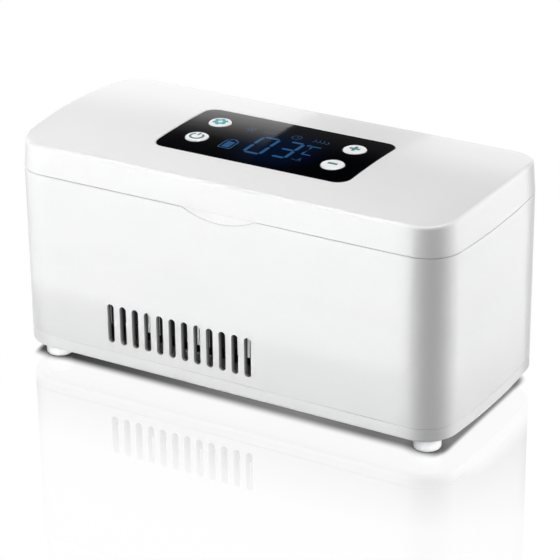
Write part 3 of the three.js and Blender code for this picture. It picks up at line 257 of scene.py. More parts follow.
# %% Flag
FLAG_CORNERS = [(-0.296, 0.6, 0.2), (-0.209, 0.6, 0.2), (-0.320, 0.6, 0.5), (-0.407, 0.6, 0.5)]
FLAG_CLEARNESS = 0.06


def flat_sheet(name, corners, paint):
    mesh = bpy.data.meshes.new(name)
    mesh.from_pydata(corners, [], [(0, 1, 2, 3)])
    mesh.materials.append(paint)
    made = bpy.data.objects.new(name, mesh)
    bpy.context.scene.collection.objects.link(made)
    return made


def new_paint(name):
    paint = bpy.data.materials.new(name)
    paint.use_nodes = True
    paint.node_tree.nodes.clear()
    return paint, paint.node_tree


def mix_shaders(tree, share, first, second):
    return node(tree, "ShaderNodeMixShader", {0: share, 1: first.outputs[0], 2: second.outputs[0]})


def show(tree, shader):
    tree.links.new(shader.outputs[0], node(tree, "ShaderNodeOutputMaterial").inputs[0])


def transparent(tree, share):
    return node(tree, "ShaderNodeBsdfTransparent", {0: (share, share, share, 1)})


def make_flag():
    cloth, tree = new_paint("flag_cloth")
    mirrored_in_floor = node(tree, "ShaderNodeLightPath").outputs["Is Singular Ray"]
    show(tree, mix_shaders(tree, mirrored_in_floor, transparent(tree, FLAG_CLEARNESS), transparent(tree, 1)))
    flag = flat_sheet("flag", FLAG_CORNERS, cloth)
    flag.visible_camera = False
    flag.visible_diffuse = False
    flag.visible_shadow = False


make_flag()
print("flag lets", FLAG_CLEARNESS, "of the sky through")

# %% [markdown]
# ## Floor
# The floor is plain white to the camera, darkened where the case shades it and with a faint mirror image. A
# white floor lit by the lamps alone would turn grey here and there, so it gives its own light instead. The
# shade follows the distance to the case's footprint and has its own strength from the left end to the right.

# %% Floor
FLOOR_HALF = 30.0
SHADE_FROM, SHADE_TO = -10 * MM, -3.2 * MM
SHADE_ALONG = {0.05: 0.035, 0.25: 0.09, 0.45: 0.18, 0.65: 0.23, 0.82: 0.17, 1.0: 0.11}
SHADE_SHIFT = -0.8 * MM
SHADE_INSET = 1.55 * MM
SHADE_STEEP = 2.5
CREASE_REACH = 5 * MM
CREASE_SAMPLES = 16
MIRROR_REACH = 100 * MM
MIRROR_AWAY = {0.02: 0.05, 0.10: 0.07, 0.17: 0.28, 0.55: 0.06, 0.98: 0.03}
FLOOR_BOUNCE = 0.2


def object_place(tree):
    return split(tree, node(tree, "ShaderNodeTexCoord").outputs["Object"])


def footprint_distance(tree, place, shift=0.0, inset=0.0, steep=1.0):
    sides = []
    for axis, middle, half, slope in (("X", shift, LENGTH / 2 - inset, steep),
                                      ("Y", MIDDLE_Y, WIDTH / 2, 1.0)):
        offset = calculate(tree, "ABSOLUTE", calculate(tree, "SUBTRACT", place[axis], middle))
        beyond = calculate(tree, "MULTIPLY", calculate(tree, "SUBTRACT", offset, half), slope)
        sides.append(calculate(tree, "ADD", beyond, CORNER_RADIUS))
    outside = [calculate(tree, "MAXIMUM", side, 0.0) for side in sides]
    squares = [calculate(tree, "MULTIPLY", side, side) for side in outside]
    reach = calculate(tree, "SQRT", calculate(tree, "ADD", *squares))
    inside = calculate(tree, "MINIMUM", calculate(tree, "MAXIMUM", *sides), 0.0)
    return calculate(tree, "SUBTRACT", calculate(tree, "ADD", reach, inside), CORNER_RADIUS)


def shaded_white(tree, place):
    crease = node(tree, "ShaderNodeAmbientOcclusion", {"Distance": CREASE_REACH}, samples=CREASE_SAMPLES)
    along = calculate(tree, "ADD", calculate(tree, "DIVIDE", place["X"], LENGTH), 0.5)
    shade = node(tree, "ShaderNodeMapRange", {
        "Value": footprint_distance(tree, place, SHADE_SHIFT, SHADE_INSET, SHADE_STEEP),
        "From Min": SHADE_FROM, "From Max": SHADE_TO,
        "To Min": levels(tree, along, SHADE_ALONG), "To Max": 1.0}, interpolation_type="SMOOTHSTEP")
    strength = calculate(tree, "MULTIPLY", crease.outputs["AO"], shade.outputs[0])
    return node(tree, "ShaderNodeEmission", {"Color": (1, 1, 1, 1), "Strength": strength})


def make_floor():
    paint, tree = new_paint("floor_white")
    place = object_place(tree)
    mirror = node(tree, "ShaderNodeBsdfGlossy", {"Color": (1, 1, 1, 1), "Roughness": 0.0})
    away = calculate(tree, "DIVIDE", footprint_distance(tree, place), MIRROR_REACH)
    shown = mix_shaders(tree, levels(tree, away, MIRROR_AWAY), shaded_white(tree, place), mirror)
    bounce = node(tree, "ShaderNodeBsdfDiffuse", {"Color": (FLOOR_BOUNCE, FLOOR_BOUNCE, FLOOR_BOUNCE, 1)})
    rays = node(tree, "ShaderNodeLightPath").outputs
    seen = calculate(tree, "MAXIMUM", rays["Is Camera Ray"], rays["Is Glossy Ray"])
    seen = calculate(tree, "MAXIMUM", seen, rays["Is Transmission Ray"])
    from_below = node(tree, "ShaderNodeNewGeometry").outputs["Backfacing"]
    show(tree, mix_shaders(tree, from_below, mix_shaders(tree, seen, bounce, shown), transparent(tree, 1)))
    half = FLOOR_HALF
    corners = [(-half, -half, 0), (half, -half, 0), (half, half, 0), (-half, half, 0)]
    floor = flat_sheet("floor", corners, paint)


make_floor()
print("floor", 2 * FLOOR_HALF, "m wide")

# %% [markdown]
# ## Finishes
# Moulded plastic is never one flat colour: its tone drifts a little over a hand's width, its gloss varies,
# and its skin has a very fine texture. One recipe does this with two noise patterns on Object coordinates,
# at sizes that each finish gives. Brushed metal is the same recipe with the noise stretched along one axis.

# %% Finish recipe
CLOUD_DETAIL, SKIN_DETAIL = 3.0, 2.0
GLOSS_SWING = 0.15
SKIN_DEPTH = 0.1 * MM


def finish(name, color, roughness, metallic=0.0, drift=0.02, drift_size=40 * MM, grain=0.05,
           grain_size=0.4 * MM, stretch=(1, 1, 1), **sockets):
    paint = bpy.data.materials.new(name + "_finish")
    paint.use_nodes = True
    tree = paint.node_tree
    shader = tree.nodes["Principled BSDF"]
    place = node(tree, "ShaderNodeTexCoord").outputs["Object"]
    place = node(tree, "ShaderNodeMapping", {"Vector": place, "Scale": stretch}).outputs[0]
    cloud = node(tree, "ShaderNodeTexNoise", {
        "Vector": place, "Scale": 1 / drift_size, "Detail": CLOUD_DETAIL})
    tone = node(tree, "ShaderNodeMix", data_type="RGBA")
    tree.links.new(cloud.outputs[0], tone.inputs["Factor"])
    tone.inputs["A"].default_value = (*[value * (1 - drift) for value in color], 1)
    tone.inputs["B"].default_value = (*[min(1.0, value * (1 + drift)) for value in color], 1)
    skin = node(tree, "ShaderNodeTexNoise", {
        "Vector": place, "Scale": 1 / grain_size, "Detail": SKIN_DETAIL})
    gloss = node(tree, "ShaderNodeMapRange", {
        "Value": skin.outputs[0], "To Min": roughness * (1 - GLOSS_SWING),
        "To Max": min(1.0, roughness * (1 + GLOSS_SWING))})
    bump = node(tree, "ShaderNodeBump", {
        "Height": skin.outputs[0], "Strength": grain, "Distance": SKIN_DEPTH})
    tree.links.new(tone.outputs["Result"], shader.inputs["Base Color"])
    tree.links.new(gloss.outputs[0], shader.inputs["Roughness"])
    tree.links.new(bump.outputs[0], shader.inputs["Normal"])
    shader.inputs["Metallic"].default_value = metallic
    for label, value in sockets.items():
        shader.inputs[label.replace("_", " ")].default_value = value
    return paint


def overlay(paint, share, color):
    tree = paint.node_tree
    base = tree.nodes["Principled BSDF"].inputs["Base Color"]
    mixed = node(tree, "ShaderNodeMix", {"Factor": share}, data_type="RGBA")
    tree.links.new(base.links[0].from_socket, mixed.inputs["A"])
    mixed.inputs["B"].default_value = color
    tree.links.new(mixed.outputs["Result"], base)
    return paint


gloss_white = finish("gloss_white", (0.872, 0.872, 0.872), 0.24, drift=0.012, grain=0.02, grain_size=1.2 * MM,
                     Coat_Weight=0.3, Coat_Roughness=0.06)
base_white = finish("base_white", (0.872, 0.872, 0.872), 0.30, drift=0.012, grain=0.03, grain_size=1.0 * MM)
satin_white = finish("satin_white", (0.80, 0.81, 0.815), 0.42, drift=0.02, grain=0.12, grain_size=0.35 * MM)
button_white = finish("button_white", (0.88, 0.885, 0.885), 0.34, grain=0.06, grain_size=0.3 * MM)
foot_white = finish("foot_white", (0.86, 0.87, 0.88), 0.30, grain=0.06, grain_size=0.5 * MM,
                    Subsurface_Weight=0.15, Subsurface_Radius=(0.002, 0.002, 0.002))
print("white finishes from", gloss_white.name, "to", foot_white.name)

# %% [markdown]
# ## Finishes of the window and the slots
# The window is near black and glossy, with a faint blue glow round the digits, as a lit display gives it. A
# lamp behind glass would be noisy to render, so the finish itself gives this light, less with the distance.
# The walls of the slots are painted grey and turn to black with their depth in the wall: this is painted shade.

# %% Finishes of the window and the slots
GLOW_MIDDLE = (4 * MM, MIDDLE_Y - 5 * MM, LID_EDGE)
GLOW_FROM, GLOW_TO = 6 * MM, 25 * MM
GLOW_BLUE = (0.0006, 0.0042, 0.017, 1)
SLOT_SHADE_BLACK = 0.97


def make_window_finish():
    paint = finish("window_black", (0.0010, 0.0012, 0.0020), 0.04, drift=0.1, grain=0.0)
    tree = paint.node_tree
    shader = tree.nodes["Principled BSDF"]
    place = node(tree, "ShaderNodeTexCoord").outputs["Object"]
    away = node(tree, "ShaderNodeVectorMath", {0: place, 1: GLOW_MIDDLE}, operation="DISTANCE")
    glow = node(tree, "ShaderNodeMapRange", {
        "Value": away.outputs["Value"], "From Min": GLOW_FROM, "From Max": GLOW_TO,
        "To Min": 1.0, "To Max": 0.0}, interpolation_type="SMOOTHSTEP")
    shader.inputs["Emission Color"].default_value = GLOW_BLUE
    tree.links.new(glow.outputs[0], shader.inputs["Emission Strength"])
    return paint


def make_slot_shade_finish():
    # Painted shade: the slot walls are grey, and black is mixed in with their depth into the wall.
    paint = finish("slot_grey", (0.5, 0.5, 0.5), 0.55, drift=0.04, grain=0.1)
    tree = paint.node_tree
    aside = calculate(tree, "ABSOLUTE", calculate(tree, "SUBTRACT", object_place(tree)["Y"], MIDDLE_Y))
    black = node(tree, "ShaderNodeMapRange", {
        "Value": aside, "From Min": WIDTH / 2, "From Max": WIDTH / 2 - WALL,
        "To Min": 0.0, "To Max": SLOT_SHADE_BLACK})
    return overlay(paint, black.outputs[0], (0, 0, 0, 1))


window_black = make_window_finish()
slot_grey = make_slot_shade_finish()
print("made", window_black.name, "and", slot_grey.name)

# %% [markdown]
# ## Mesh helpers
# Most shells here are lofts: rings of points at rising heights, joined by faces. Every ring runs
# anticlockwise from the front, its left half mirrors its right half, and so both ends close with rungs
# from side to side. The lid's crowned top follows from that: each rung lies at one depth of the case.

# %% Rings
CORNER_STEPS = 16
END_STEPS = 18
ROUND_COUNT = 64


def arc(x, y, radius, start, stop, steps):
    angles = [start + (stop - start) * i / steps for i in range(steps + 1)]
    return [(x + radius * math.cos(angle), y + radius * math.sin(angle)) for angle in angles]


def mirrored(half, x=0.0, y=0.0):
    return [(x + px, y + py) for px, py in half] + [(x - px, y + py) for px, py in reversed(half)]


def outline(inset):
    corner = CORNER_RADIUS - inset
    right = arc(corner_x, -corner_y, corner, -math.pi / 2, -bow_angle, CORNER_STEPS)[:-1]
    right += arc(bow_centre, 0, END_BOW_RADIUS - inset, -bow_angle, bow_angle, END_STEPS)[:-1]
    right += arc(corner_x, corner_y, corner, bow_angle, math.pi / 2, CORNER_STEPS)
    return mirrored(right, y=MIDDLE_Y)


def rectangle(length, width, radius, x=0.0, y=0.0, side_steps=1, corner_steps=10):
    across, along = length / 2 - radius, width / 2 - radius
    right = arc(across, -along, radius, -math.pi / 2, 0, corner_steps)
    right += [(length / 2, along * (2 * i / side_steps - 1)) for i in range(1, side_steps)]
    right += arc(across, along, radius, 0, math.pi / 2, corner_steps)
    return mirrored(right, x, y)


def circle(radius, x=0.0, y=0.0, count=ROUND_COUNT):
    step = 2 * math.pi / count
    start = -math.pi / 2 + step / 2
    return mirrored(arc(0, 0, radius, start, -start, count // 2 - 1), x, y)


def level(points, z):
    return [Vector((x, y, z)) for x, y in points]


def lid_surface(y):
    return LID_EDGE + LID_CROWN * (1 - ((y - MIDDLE_Y) / (WIDTH / 2)) ** 2)


def crowned(points, height):
    return [Vector((x, y, lid_surface(y) + height)) for x, y in points]


def fillet(inset, z, radius, start, stop, steps=5):
    return arc(inset, z, radius, math.radians(start), math.radians(stop), steps)


print("case outline of", len(outline(0)), "points")

# %% Lofts and finished pieces


def loft(rings, closed=False):
    made = bmesh.new()
    loops = [[made.verts.new(point) for point in ring] for ring in rings]
    count = len(loops[0])
    joined = list(zip(loops, loops[1:]))
    if closed:
        joined.append((loops[-1], loops[0]))
    for low, high in joined:
        for i in range(count):
            made.faces.new((low[i], low[i - 1], high[i - 1], high[i]))
    if not closed:
        for loop in (loops[0], loops[-1]):
            for i in range(count // 2 - 1):
                made.faces.new((loop[i], loop[i + 1], loop[count - 2 - i], loop[count - 1 - i]))
    bmesh.ops.recalc_face_normals(made, faces=made.faces)
    return made


def prism(points, low, high):
    return loft([level(points, low), level(points, high)])


def turned(profile, x=0.0, y=0.0, count=ROUND_COUNT):
    return loft([level(circle(radius, x, y, count), z) for radius, z in profile])


def round_edge(radius, z, edge, start, stop, steps):
    return [(radius - inset, height) for inset, height in fillet(edge, z, edge, start, stop, steps)]


def placed(shape, matrix):
    bmesh.ops.transform(shape, matrix=matrix, verts=shape.verts)
    return shape


def piece(name, shape, paint):
    mesh = bpy.data.meshes.new(name)
    shape.to_mesh(mesh)
    shape.free()
    mesh.materials.append(paint)
    made = bpy.data.objects.new(name, mesh)
    bpy.context.scene.collection.objects.link(made)
    return made


def settle(made):
    depsgraph = bpy.context.evaluated_depsgraph_get()
    mesh = bpy.data.meshes.new_from_object(
        made.evaluated_get(depsgraph), preserve_all_data_layers=True, depsgraph=depsgraph)
    made.modifiers.clear()
    made.data = mesh
    mesh.name = made.name
    return made


def carve(made, *shapes, operation="DIFFERENCE", paint=None):
    for shape in shapes:
        tool = piece("tool", shape, paint or made.data.materials[0])
        change = made.modifiers.new("carve", "BOOLEAN")
        change.material_mode = "TRANSFER"
        change.object = tool
        change.operation = operation
        change.solver = "EXACT"
        settle(made)
        bpy.data.objects.remove(tool)


SHARP_FROM = math.radians(20)
BEVEL_FROM = math.radians(40)


def soften(made, width=0.0, segments=2):
    made.data.shade_smooth()
    made.data.set_sharp_from_angle(angle=SHARP_FROM)
    if width:
        edge = made.modifiers.new("edge", "BEVEL")
        edge.width = width
        edge.segments = segments
        edge.limit_method = "ANGLE"
        edge.angle_limit = BEVEL_FROM
    weigh = made.modifiers.new("weigh", "WEIGHTED_NORMAL")
    weigh.keep_sharp = True
    return settle(made)


def dress(made, body, slot, *replaced):
    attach(made, body)
    if replaced:
        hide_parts(*replaced)
    print(made.name, len(made.data.polygons), "faces on", body)


print("edges over", round(math.degrees(BEVEL_FROM)), "degrees get a bevel")

# %% [markdown]
# ## Vent slots
# Twelve slots with round ends cool the heat sink from the front, and the fan draws air through a round
# field of longer slots in the bottom. One Geometry Nodes tree makes the cutters for both: a row of short
# cylinders, each pulled apart in the middle by its reach. In a round field the reach follows the circle.

# %% Slot tree
SLOT_STEPS = 32


def new_tree(name, inputs):
    tree = bpy.data.node_groups.new(name, "GeometryNodeTree")
    for label, kind in inputs.items():
        tree.interface.new_socket(label, in_out="INPUT", socket_type="NodeSocket" + kind)
    tree.interface.new_socket("Geometry", in_out="OUTPUT", socket_type="NodeSocketGeometry")
    return tree, node(tree, "NodeGroupInput").outputs


def end_tree(tree, geometry, paint):
    painted = node(tree, "GeometryNodeSetMaterial", {"Geometry": geometry, "Material": paint})
    tree.links.new(painted.outputs[0], node(tree, "NodeGroupOutput").inputs[0])


def grow(name, tree, values, mesh=None):
    made = bpy.data.objects.new(name, mesh or bpy.data.meshes.new(name))
    bpy.context.scene.collection.objects.link(made)
    growth = made.modifiers.new("grow", "NODES")
    growth.node_group = tree
    for item in tree.interface.items_tree:
        if item.in_out == "INPUT" and item.name in values:
            growth[item.identifier] = values[item.name]
    return settle(made)


def combine(tree, **sockets):
    return node(tree, "ShaderNodeCombineXYZ", sockets).outputs[0]


def make_slot_tree():
    tree, given = new_tree("slot_row", {
        "Count": "Int", "Pitch": "Float", "Width": "Float", "Reach": "Float", "Field Radius": "Float",
        "Depth": "Float", "Finish": "Material"})
    half_span = calculate(tree, "MULTIPLY", calculate(tree, "SUBTRACT", given["Count"], 1.0), -0.5)
    start = combine(tree, X=calculate(tree, "MULTIPLY", half_span, given["Pitch"]))
    row = node(tree, "GeometryNodeMeshLine", {
        "Count": given["Count"], "Start Location": start, "Offset": combine(tree, X=given["Pitch"])})
    place = split(tree, node(tree, "GeometryNodeInputPosition").outputs[0])
    radius = calculate(tree, "MULTIPLY", given["Width"], 0.5)
    field = calculate(tree, "MULTIPLY", given["Field Radius"], given["Field Radius"])
    across = calculate(tree, "MULTIPLY", place["X"], place["X"])
    left = calculate(tree, "MAXIMUM", calculate(tree, "SUBTRACT", field, across), 0.0)
    free = calculate(tree, "SUBTRACT", calculate(tree, "SQRT", left), radius)
    reach = calculate(tree, "ADD", given["Reach"], calculate(tree, "MAXIMUM", free, 0.0))
    row = node(tree, "GeometryNodeStoreNamedAttribute", {
        "Geometry": row.outputs[0], "Name": "reach", "Value": reach}, data_type="FLOAT", domain="POINT")
    cutter = node(tree, "GeometryNodeMeshCylinder", {
        "Vertices": SLOT_STEPS, "Radius": radius, "Depth": given["Depth"]})
    cutter = node(tree, "GeometryNodeTransform", {
        "Geometry": cutter.outputs[0], "Rotation": (0, 0, math.pi / SLOT_STEPS)})
    cutters = node(tree, "GeometryNodeInstanceOnPoints", {
        "Points": row.outputs[0], "Instance": cutter.outputs[0]})
    cutters = node(tree, "GeometryNodeRealizeInstances", {"Geometry": cutters.outputs[0]})
    stored = node(tree, "GeometryNodeInputNamedAttribute", {"Name": "reach"}, data_type="FLOAT")
    side = calculate(tree, "SIGN", place["Y"])
    pull = combine(tree, Y=calculate(tree, "MULTIPLY", side, stored.outputs[0]))
    pulled = node(tree, "GeometryNodeSetPosition", {"Geometry": cutters.outputs[0], "Offset": pull})
    end_tree(tree, pulled.outputs[0], given["Finish"])
    return tree


slot_tree = make_slot_tree()


def slot_cutters(values, turn, place):
    grown = grow("slots", slot_tree, values)
    shape = bmesh.new()
    shape.from_mesh(grown.data)
    bpy.data.objects.remove(grown)
    return placed(shape, Matrix.Translation(place) @ turn)


VENT_HEIGHT, VENT_WIDTH, VENT_LIFT = 17.6 * MM, 3.2 * MM, 10 * MM
# The slot cutters carry the painted shade finish onto the walls of the slots.
VENTS = {"Count": 12, "Pitch": 6.03 * MM, "Width": VENT_WIDTH, "Reach": (VENT_HEIGHT - VENT_WIDTH) / 2,
         "Field Radius": 0.0, "Depth": 4 * WALL, "Finish": slot_grey}
VENT_X = joints["fan_spin"]["pos_m"][0]
VENT_Z = BASE_BOTTOM + VENT_LIFT + VENT_HEIGHT / 2
UPRIGHT = Matrix.Rotation(math.pi / 2, 4, "X")
print("slot tree with", len(slot_tree.nodes), "nodes")

# %% [markdown]
# ## Hinge
# Lugs on the housing and knuckles on the lid turn on two pins. A barrel with its gusset is the hull of a
# circle and two points at each end, which is simpler than joining a rod and a wedge. The rooms for the
# barrels and the bores for the pins are plain rods on the same axis, a little larger than what goes in them.

# %% Hinge barrels
HINGE_X = 58 * MM
BARREL_RADIUS = 3 * MM
BARREL_COUNT = 48
KNUCKLE_LENGTH = 12 * MM
LUG_LENGTH = 6 * MM
GUSSET_HEIGHT = 8 * MM
SIDE_GAP = 0.4 * MM
PIN_RADIUS = 1.25 * MM
ROD_COUNT = 40
FLAT_ANGLE = math.radians(1)
ALONG_HINGE = Matrix(((0, 0, 1, 0), (1, 0, 0, HINGE.y), (0, 1, 0, HINGE.z), (0, 0, 0, 1)))


def hinge_rod(radius, start, stop):
    return placed(prism(circle(radius, count=ROD_COUNT), start, stop), ALONG_HINGE)


def barrel(start, stop, towards):
    shape = bmesh.new()
    root = HINGE.y - WALL / 2
    far = HINGE.z + towards * GUSSET_HEIGHT
    section = circle(BARREL_RADIUS, HINGE.y, HINGE.z, BARREL_COUNT) + [(root, far), (HINGE.y, far)]
    for x in (start, stop):
        for y, z in section:
            shape.verts.new((x, y, z))
    hull = bmesh.ops.convex_hull(shape, input=shape.verts)
    bmesh.ops.delete(shape, geom=hull["geom_interior"], context="VERTS")
    bmesh.ops.dissolve_limit(shape, angle_limit=FLAT_ANGLE, verts=shape.verts, edges=shape.edges)
    bmesh.ops.recalc_face_normals(shape, faces=shape.faces)
    return shape


def hinge_spans(side):
    inner = KNUCKLE_LENGTH / 2 + SIDE_GAP
    centre = side * HINGE_X
    lugs = [(centre - inner - LUG_LENGTH, centre - inner), (centre + inner, centre + inner + LUG_LENGTH)]
    return lugs, (centre - KNUCKLE_LENGTH / 2, centre + KNUCKLE_LENGTH / 2)


def barrel_room(start, stop):
    return hinge_rod(BARREL_RADIUS + SIDE_GAP, start - SIDE_GAP, stop + SIDE_GAP)


def pin_bore(lugs):
    return hinge_rod(PIN_RADIUS + FIT, lugs[0][0] - WALL, lugs[1][1] + WALL)


print("hinge axis at", [round(value / MM, 2) for value in HINGE], "mm")

# %% [markdown]
# ## Housing
# The outer wall is one moulded shell: a closed strip of wall with rounded rims swept round the case's
# outline, which has straight long sides, round corners and slightly bowed ends. The slots, the finger
# scoop and the room for the hinge are cut afterwards, and the hinge lugs are joined on. The walls of the
# slots are painted grey and darker inwards towards black, as painted shade. A box
# with a Solidify modifier would be quicker, but the swept profile gives the rims their exact rounds.

# %% Housing profiles
RIM_RADIUS = 0.25 * MM
PARTING_GAP = 0.1 * MM
PARTING_EDGE = 0.1 * MM
SCOOP_WIDTH = 34.1 * MM
SCOOP_DROP = 4.2 * MM
SCOOP_DEPTH = 1.8 * MM
SCOOP_STEP = 0.8 * MM
SCOOP_RINGS = 16
SCOOP_COUNT = 288
PAST = 1 * MM


def wall_profile(low, high):
    edge, rim = PARTING_EDGE, RIM_RADIUS
    return (fillet(edge, low + edge, edge, 270, 180, 3) + fillet(rim, high - rim, rim, 180, 90)
            + fillet(WALL - rim, high - rim, rim, 90, 0) + fillet(WALL - edge, low + edge, edge, 0, -90, 3))


def scoop_cutter():
    rim = ((SCOOP_WIDTH / 2) ** 2 + SCOOP_DROP ** 2) / (2 * SCOOP_DROP)
    at_seam = rim - SCOOP_DROP
    hollow = SCOOP_DEPTH - SCOOP_STEP
    stand = (rim ** 2 - at_seam ** 2 - hollow ** 2) / (2 * hollow)
    profile = [(rim, PAST)]
    for i in range(SCOOP_RINGS):
        radius = rim * (1 - (i / SCOOP_RINGS) ** 2)
        profile.append((radius, stand - SCOOP_STEP - math.sqrt(stand ** 2 + rim ** 2 - radius ** 2)))
    place = Matrix.Translation((0, FRONT, SEAM - SCOOP_DROP + rim))
    return placed(turned(profile, count=SCOOP_COUNT), place @ UPRIGHT)


print("scoop", round(SCOOP_WIDTH / MM, 1), "mm wide, drops", round(SCOOP_DROP / MM, 1), "mm")

# %% Housing shell
SOFT_EDGE = 0.22 * MM
JACK_RADIUS = 4.2 * MM


def middle_of(name):
    low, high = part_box(name)
    return [(a + b) / 2 for a, b in zip(low, high)]


JACK_X, JACK_Z = middle_of("dc_jack")[0], middle_of("dc_jack")[2]


def make_housing():
    profile = wall_profile(BASE_SEAM - FIT + PARTING_GAP, SEAM)
    rings = [level(outline(inset), z) for inset, z in profile]
    made = piece("housing_shell", loft(rings, closed=True), gloss_white)
    for y in (FRONT, REAR):
        # The walls of the slots take the painted shade finish.
        carve(made, slot_cutters(VENTS, UPRIGHT, Vector((VENT_X, y, VENT_Z))), paint=slot_grey)
    jack_hole = prism(circle(JACK_RADIUS + FIT), -2 * WALL, 2 * WALL)
    carve(made, placed(jack_hole, Matrix.Translation((JACK_X, REAR, JACK_Z)) @ UPRIGHT), scoop_cutter())
    for side in (-1, 1):
        lugs, knuckle = hinge_spans(side)
        carve(made, barrel_room(*knuckle))
        carve(made, *[barrel(*lug, -1) for lug in lugs], operation="UNION")
        carve(made, pin_bore(lugs))
    return soften(made, SOFT_EDGE)


dress(make_housing(), "case", "gloss_white", "housing")

# %% [markdown]
# ## Lid
# The lid's side leans in a little, a small fillet runs round its top edge, and the top is crowned from
# front to rear. The shell is a loft from its inner roof down the inside, round the rim and up the outside.
# A subdivided box would blur the line between side and top, and the loft keeps it. A pocket with a flared rim
# takes the display window, with a hair's gap round it.

# %% Lid shell
LID_LEAN = 0.9 * MM
LID_EDGE_RADIUS = 1.4 * MM
LID_ROOF = 3 * MM
ABOVE_LID = LID_EDGE + 9 * MM
window_low, window_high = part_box("display_window")
WINDOW = {"length": window_high.x - window_low.x, "width": window_high.y - window_low.y,
          "y": (window_low.y + window_high.y) / 2}
WINDOW_RADIUS = 5.5 * MM
WINDOW_SINK = 0.1 * MM
WINDOW_THICKNESS = 1.5 * MM
WINDOW_LEDGE = 5.05 * MM
POCKET_FLARE = 0.45 * MM
POCKET_GAP = 0.06 * MM
CROWN_STEPS = 14


def window_shape(growth):
    return rectangle(WINDOW["length"] + 2 * growth, WINDOW["width"] + 2 * growth, WINDOW_RADIUS + growth,
                     y=WINDOW["y"], side_steps=CROWN_STEPS)


def pocket_cutter():
    steps = [(POCKET_GAP, -WINDOW_SINK - WINDOW_THICKNESS - FIT), (POCKET_GAP, -POCKET_FLARE),
             (POCKET_GAP + POCKET_FLARE, 0), (POCKET_GAP + POCKET_FLARE, 2 * PAST)]
    return loft([crowned(window_shape(growth), height) for growth, height in steps])


def make_lid():
    inside = [crowned(outline(WALL), -LID_ROOF)]
    rim = fillet(WALL - RIM_RADIUS, LID_BOTTOM + RIM_RADIUS, RIM_RADIUS, 0, -90)
    rim += fillet(RIM_RADIUS, LID_BOTTOM + RIM_RADIUS, RIM_RADIUS, 270, 180)
    inside += [level(outline(inset), z) for inset, z in rim]
    top = fillet(LID_LEAN + LID_EDGE_RADIUS, -LID_EDGE_RADIUS, LID_EDGE_RADIUS, 180, 90, 8)
    outside = [crowned(outline(inset), height) for inset, height in top]
    made = piece("lid_cover", loft(inside + outside), gloss_white)
    carve(made, pocket_cutter(), prism(window_shape(-WINDOW_LEDGE), LID_BOTTOM, ABOVE_LID))
    for side in (-1, 1):
        lugs, knuckle = hinge_spans(side)
        carve(made, *[barrel_room(*lug) for lug in lugs])
        carve(made, barrel(*knuckle, 1), operation="UNION")
        carve(made, pin_bore(lugs))
    return soften(made, SOFT_EDGE)


dress(make_lid(), "lid", "gloss_white", "lid_shell")

# %% [markdown]
# ## Display window
# A black glossy panel follows the lid's crown and lies a tenth of a millimetre below it. A flat plate would
# not lie even with the crowned lid, so the panel is lofted on the same curve. Four round holes let the
# buttons through.

# %% Window panel
BUTTONS = ("settings", "power", "plus", "minus")
BUTTON_RADIUS = 4.9 * MM
WINDOW_EDGE = 0.25 * MM
HOLE_EDGE = 0.12 * MM


def button_place(name):
    x, y = middle_of("button_" + name)[:2]
    return Vector((x, y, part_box("button_" + name)[1].z))


def make_window():
    edge = fillet(WINDOW_EDGE, -WINDOW_EDGE, WINDOW_EDGE, 180, 90, 4)
    rings = [crowned(window_shape(0), -WINDOW_SINK - WINDOW_THICKNESS)]
    rings += [crowned(window_shape(-inset), height - WINDOW_SINK) for inset, height in edge]
    made = piece("window_panel", loft(rings), window_black)
    for name in BUTTONS:
        place = button_place(name)
        carve(made, prism(circle(BUTTON_RADIUS + FIT, place.x, place.y), LID_BOTTOM, ABOVE_LID))
    return soften(made, HOLE_EDGE)


dress(make_window(), "lid", "window_black", "display_window")

# %% [markdown]
# ## Buttons
# Each button is a low dome with a rounded edge and a flange under the window that keeps it in. Turned
# shapes like this are lofts of circles, which need no modifier and leave clean quads.

# %% Button caps
BUTTON_PROUD = 0.3 * MM
BUTTON_DOME = 0.2 * MM
BUTTON_EDGE = 0.5 * MM
DOME_RADIUS = BUTTON_RADIUS - BUTTON_EDGE
DOME_SHARES = (0.85, 0.65, 0.45, 0.25, 0.1)
FLANGE_WIDTH, FLANGE_PLAY = 1.3 * MM, 0.5 * MM
FLANGE_RADIUS = BUTTON_RADIUS + FLANGE_WIDTH
FLANGE_TOP = -WINDOW_SINK - WINDOW_THICKNESS - FLANGE_PLAY
FLANGE_THICKNESS = 0.9 * MM
PRINT = 0.04 * MM


def dome(radius):
    return BUTTON_DOME * (1 - (radius / DOME_RADIUS) ** 2)


def make_button(name):
    place = button_place(name)
    rest = place.z - BUTTON_PROUD - BUTTON_DOME - PRINT
    profile = [(FLANGE_RADIUS, FLANGE_TOP - FLANGE_THICKNESS), (FLANGE_RADIUS, FLANGE_TOP),
               (BUTTON_RADIUS, FLANGE_TOP)]
    profile += round_edge(BUTTON_RADIUS, BUTTON_PROUD - BUTTON_EDGE, BUTTON_EDGE, 180, 90, 6)
    profile += [(DOME_RADIUS * share, BUTTON_PROUD + dome(DOME_RADIUS * share)) for share in DOME_SHARES]
    shape = turned([(radius, rest + z) for radius, z in profile], place.x, place.y)
    return soften(piece("cap_" + name, shape, button_white))


for name in BUTTONS:
    dress(make_button(name), "button_" + name, "button_white", "button_" + name)

# %% [markdown]
# ## Bottom cover and feet
# The bottom cover is a shallow dish with a lip that goes inside the housing. Its rounded lower edge, the
# intake slots and the recess of the battery cover show from below. It is a loft as well, and its openings are
# cut with booleans at the places that the frame gives. The feet are turned shapes that are snapped into it.

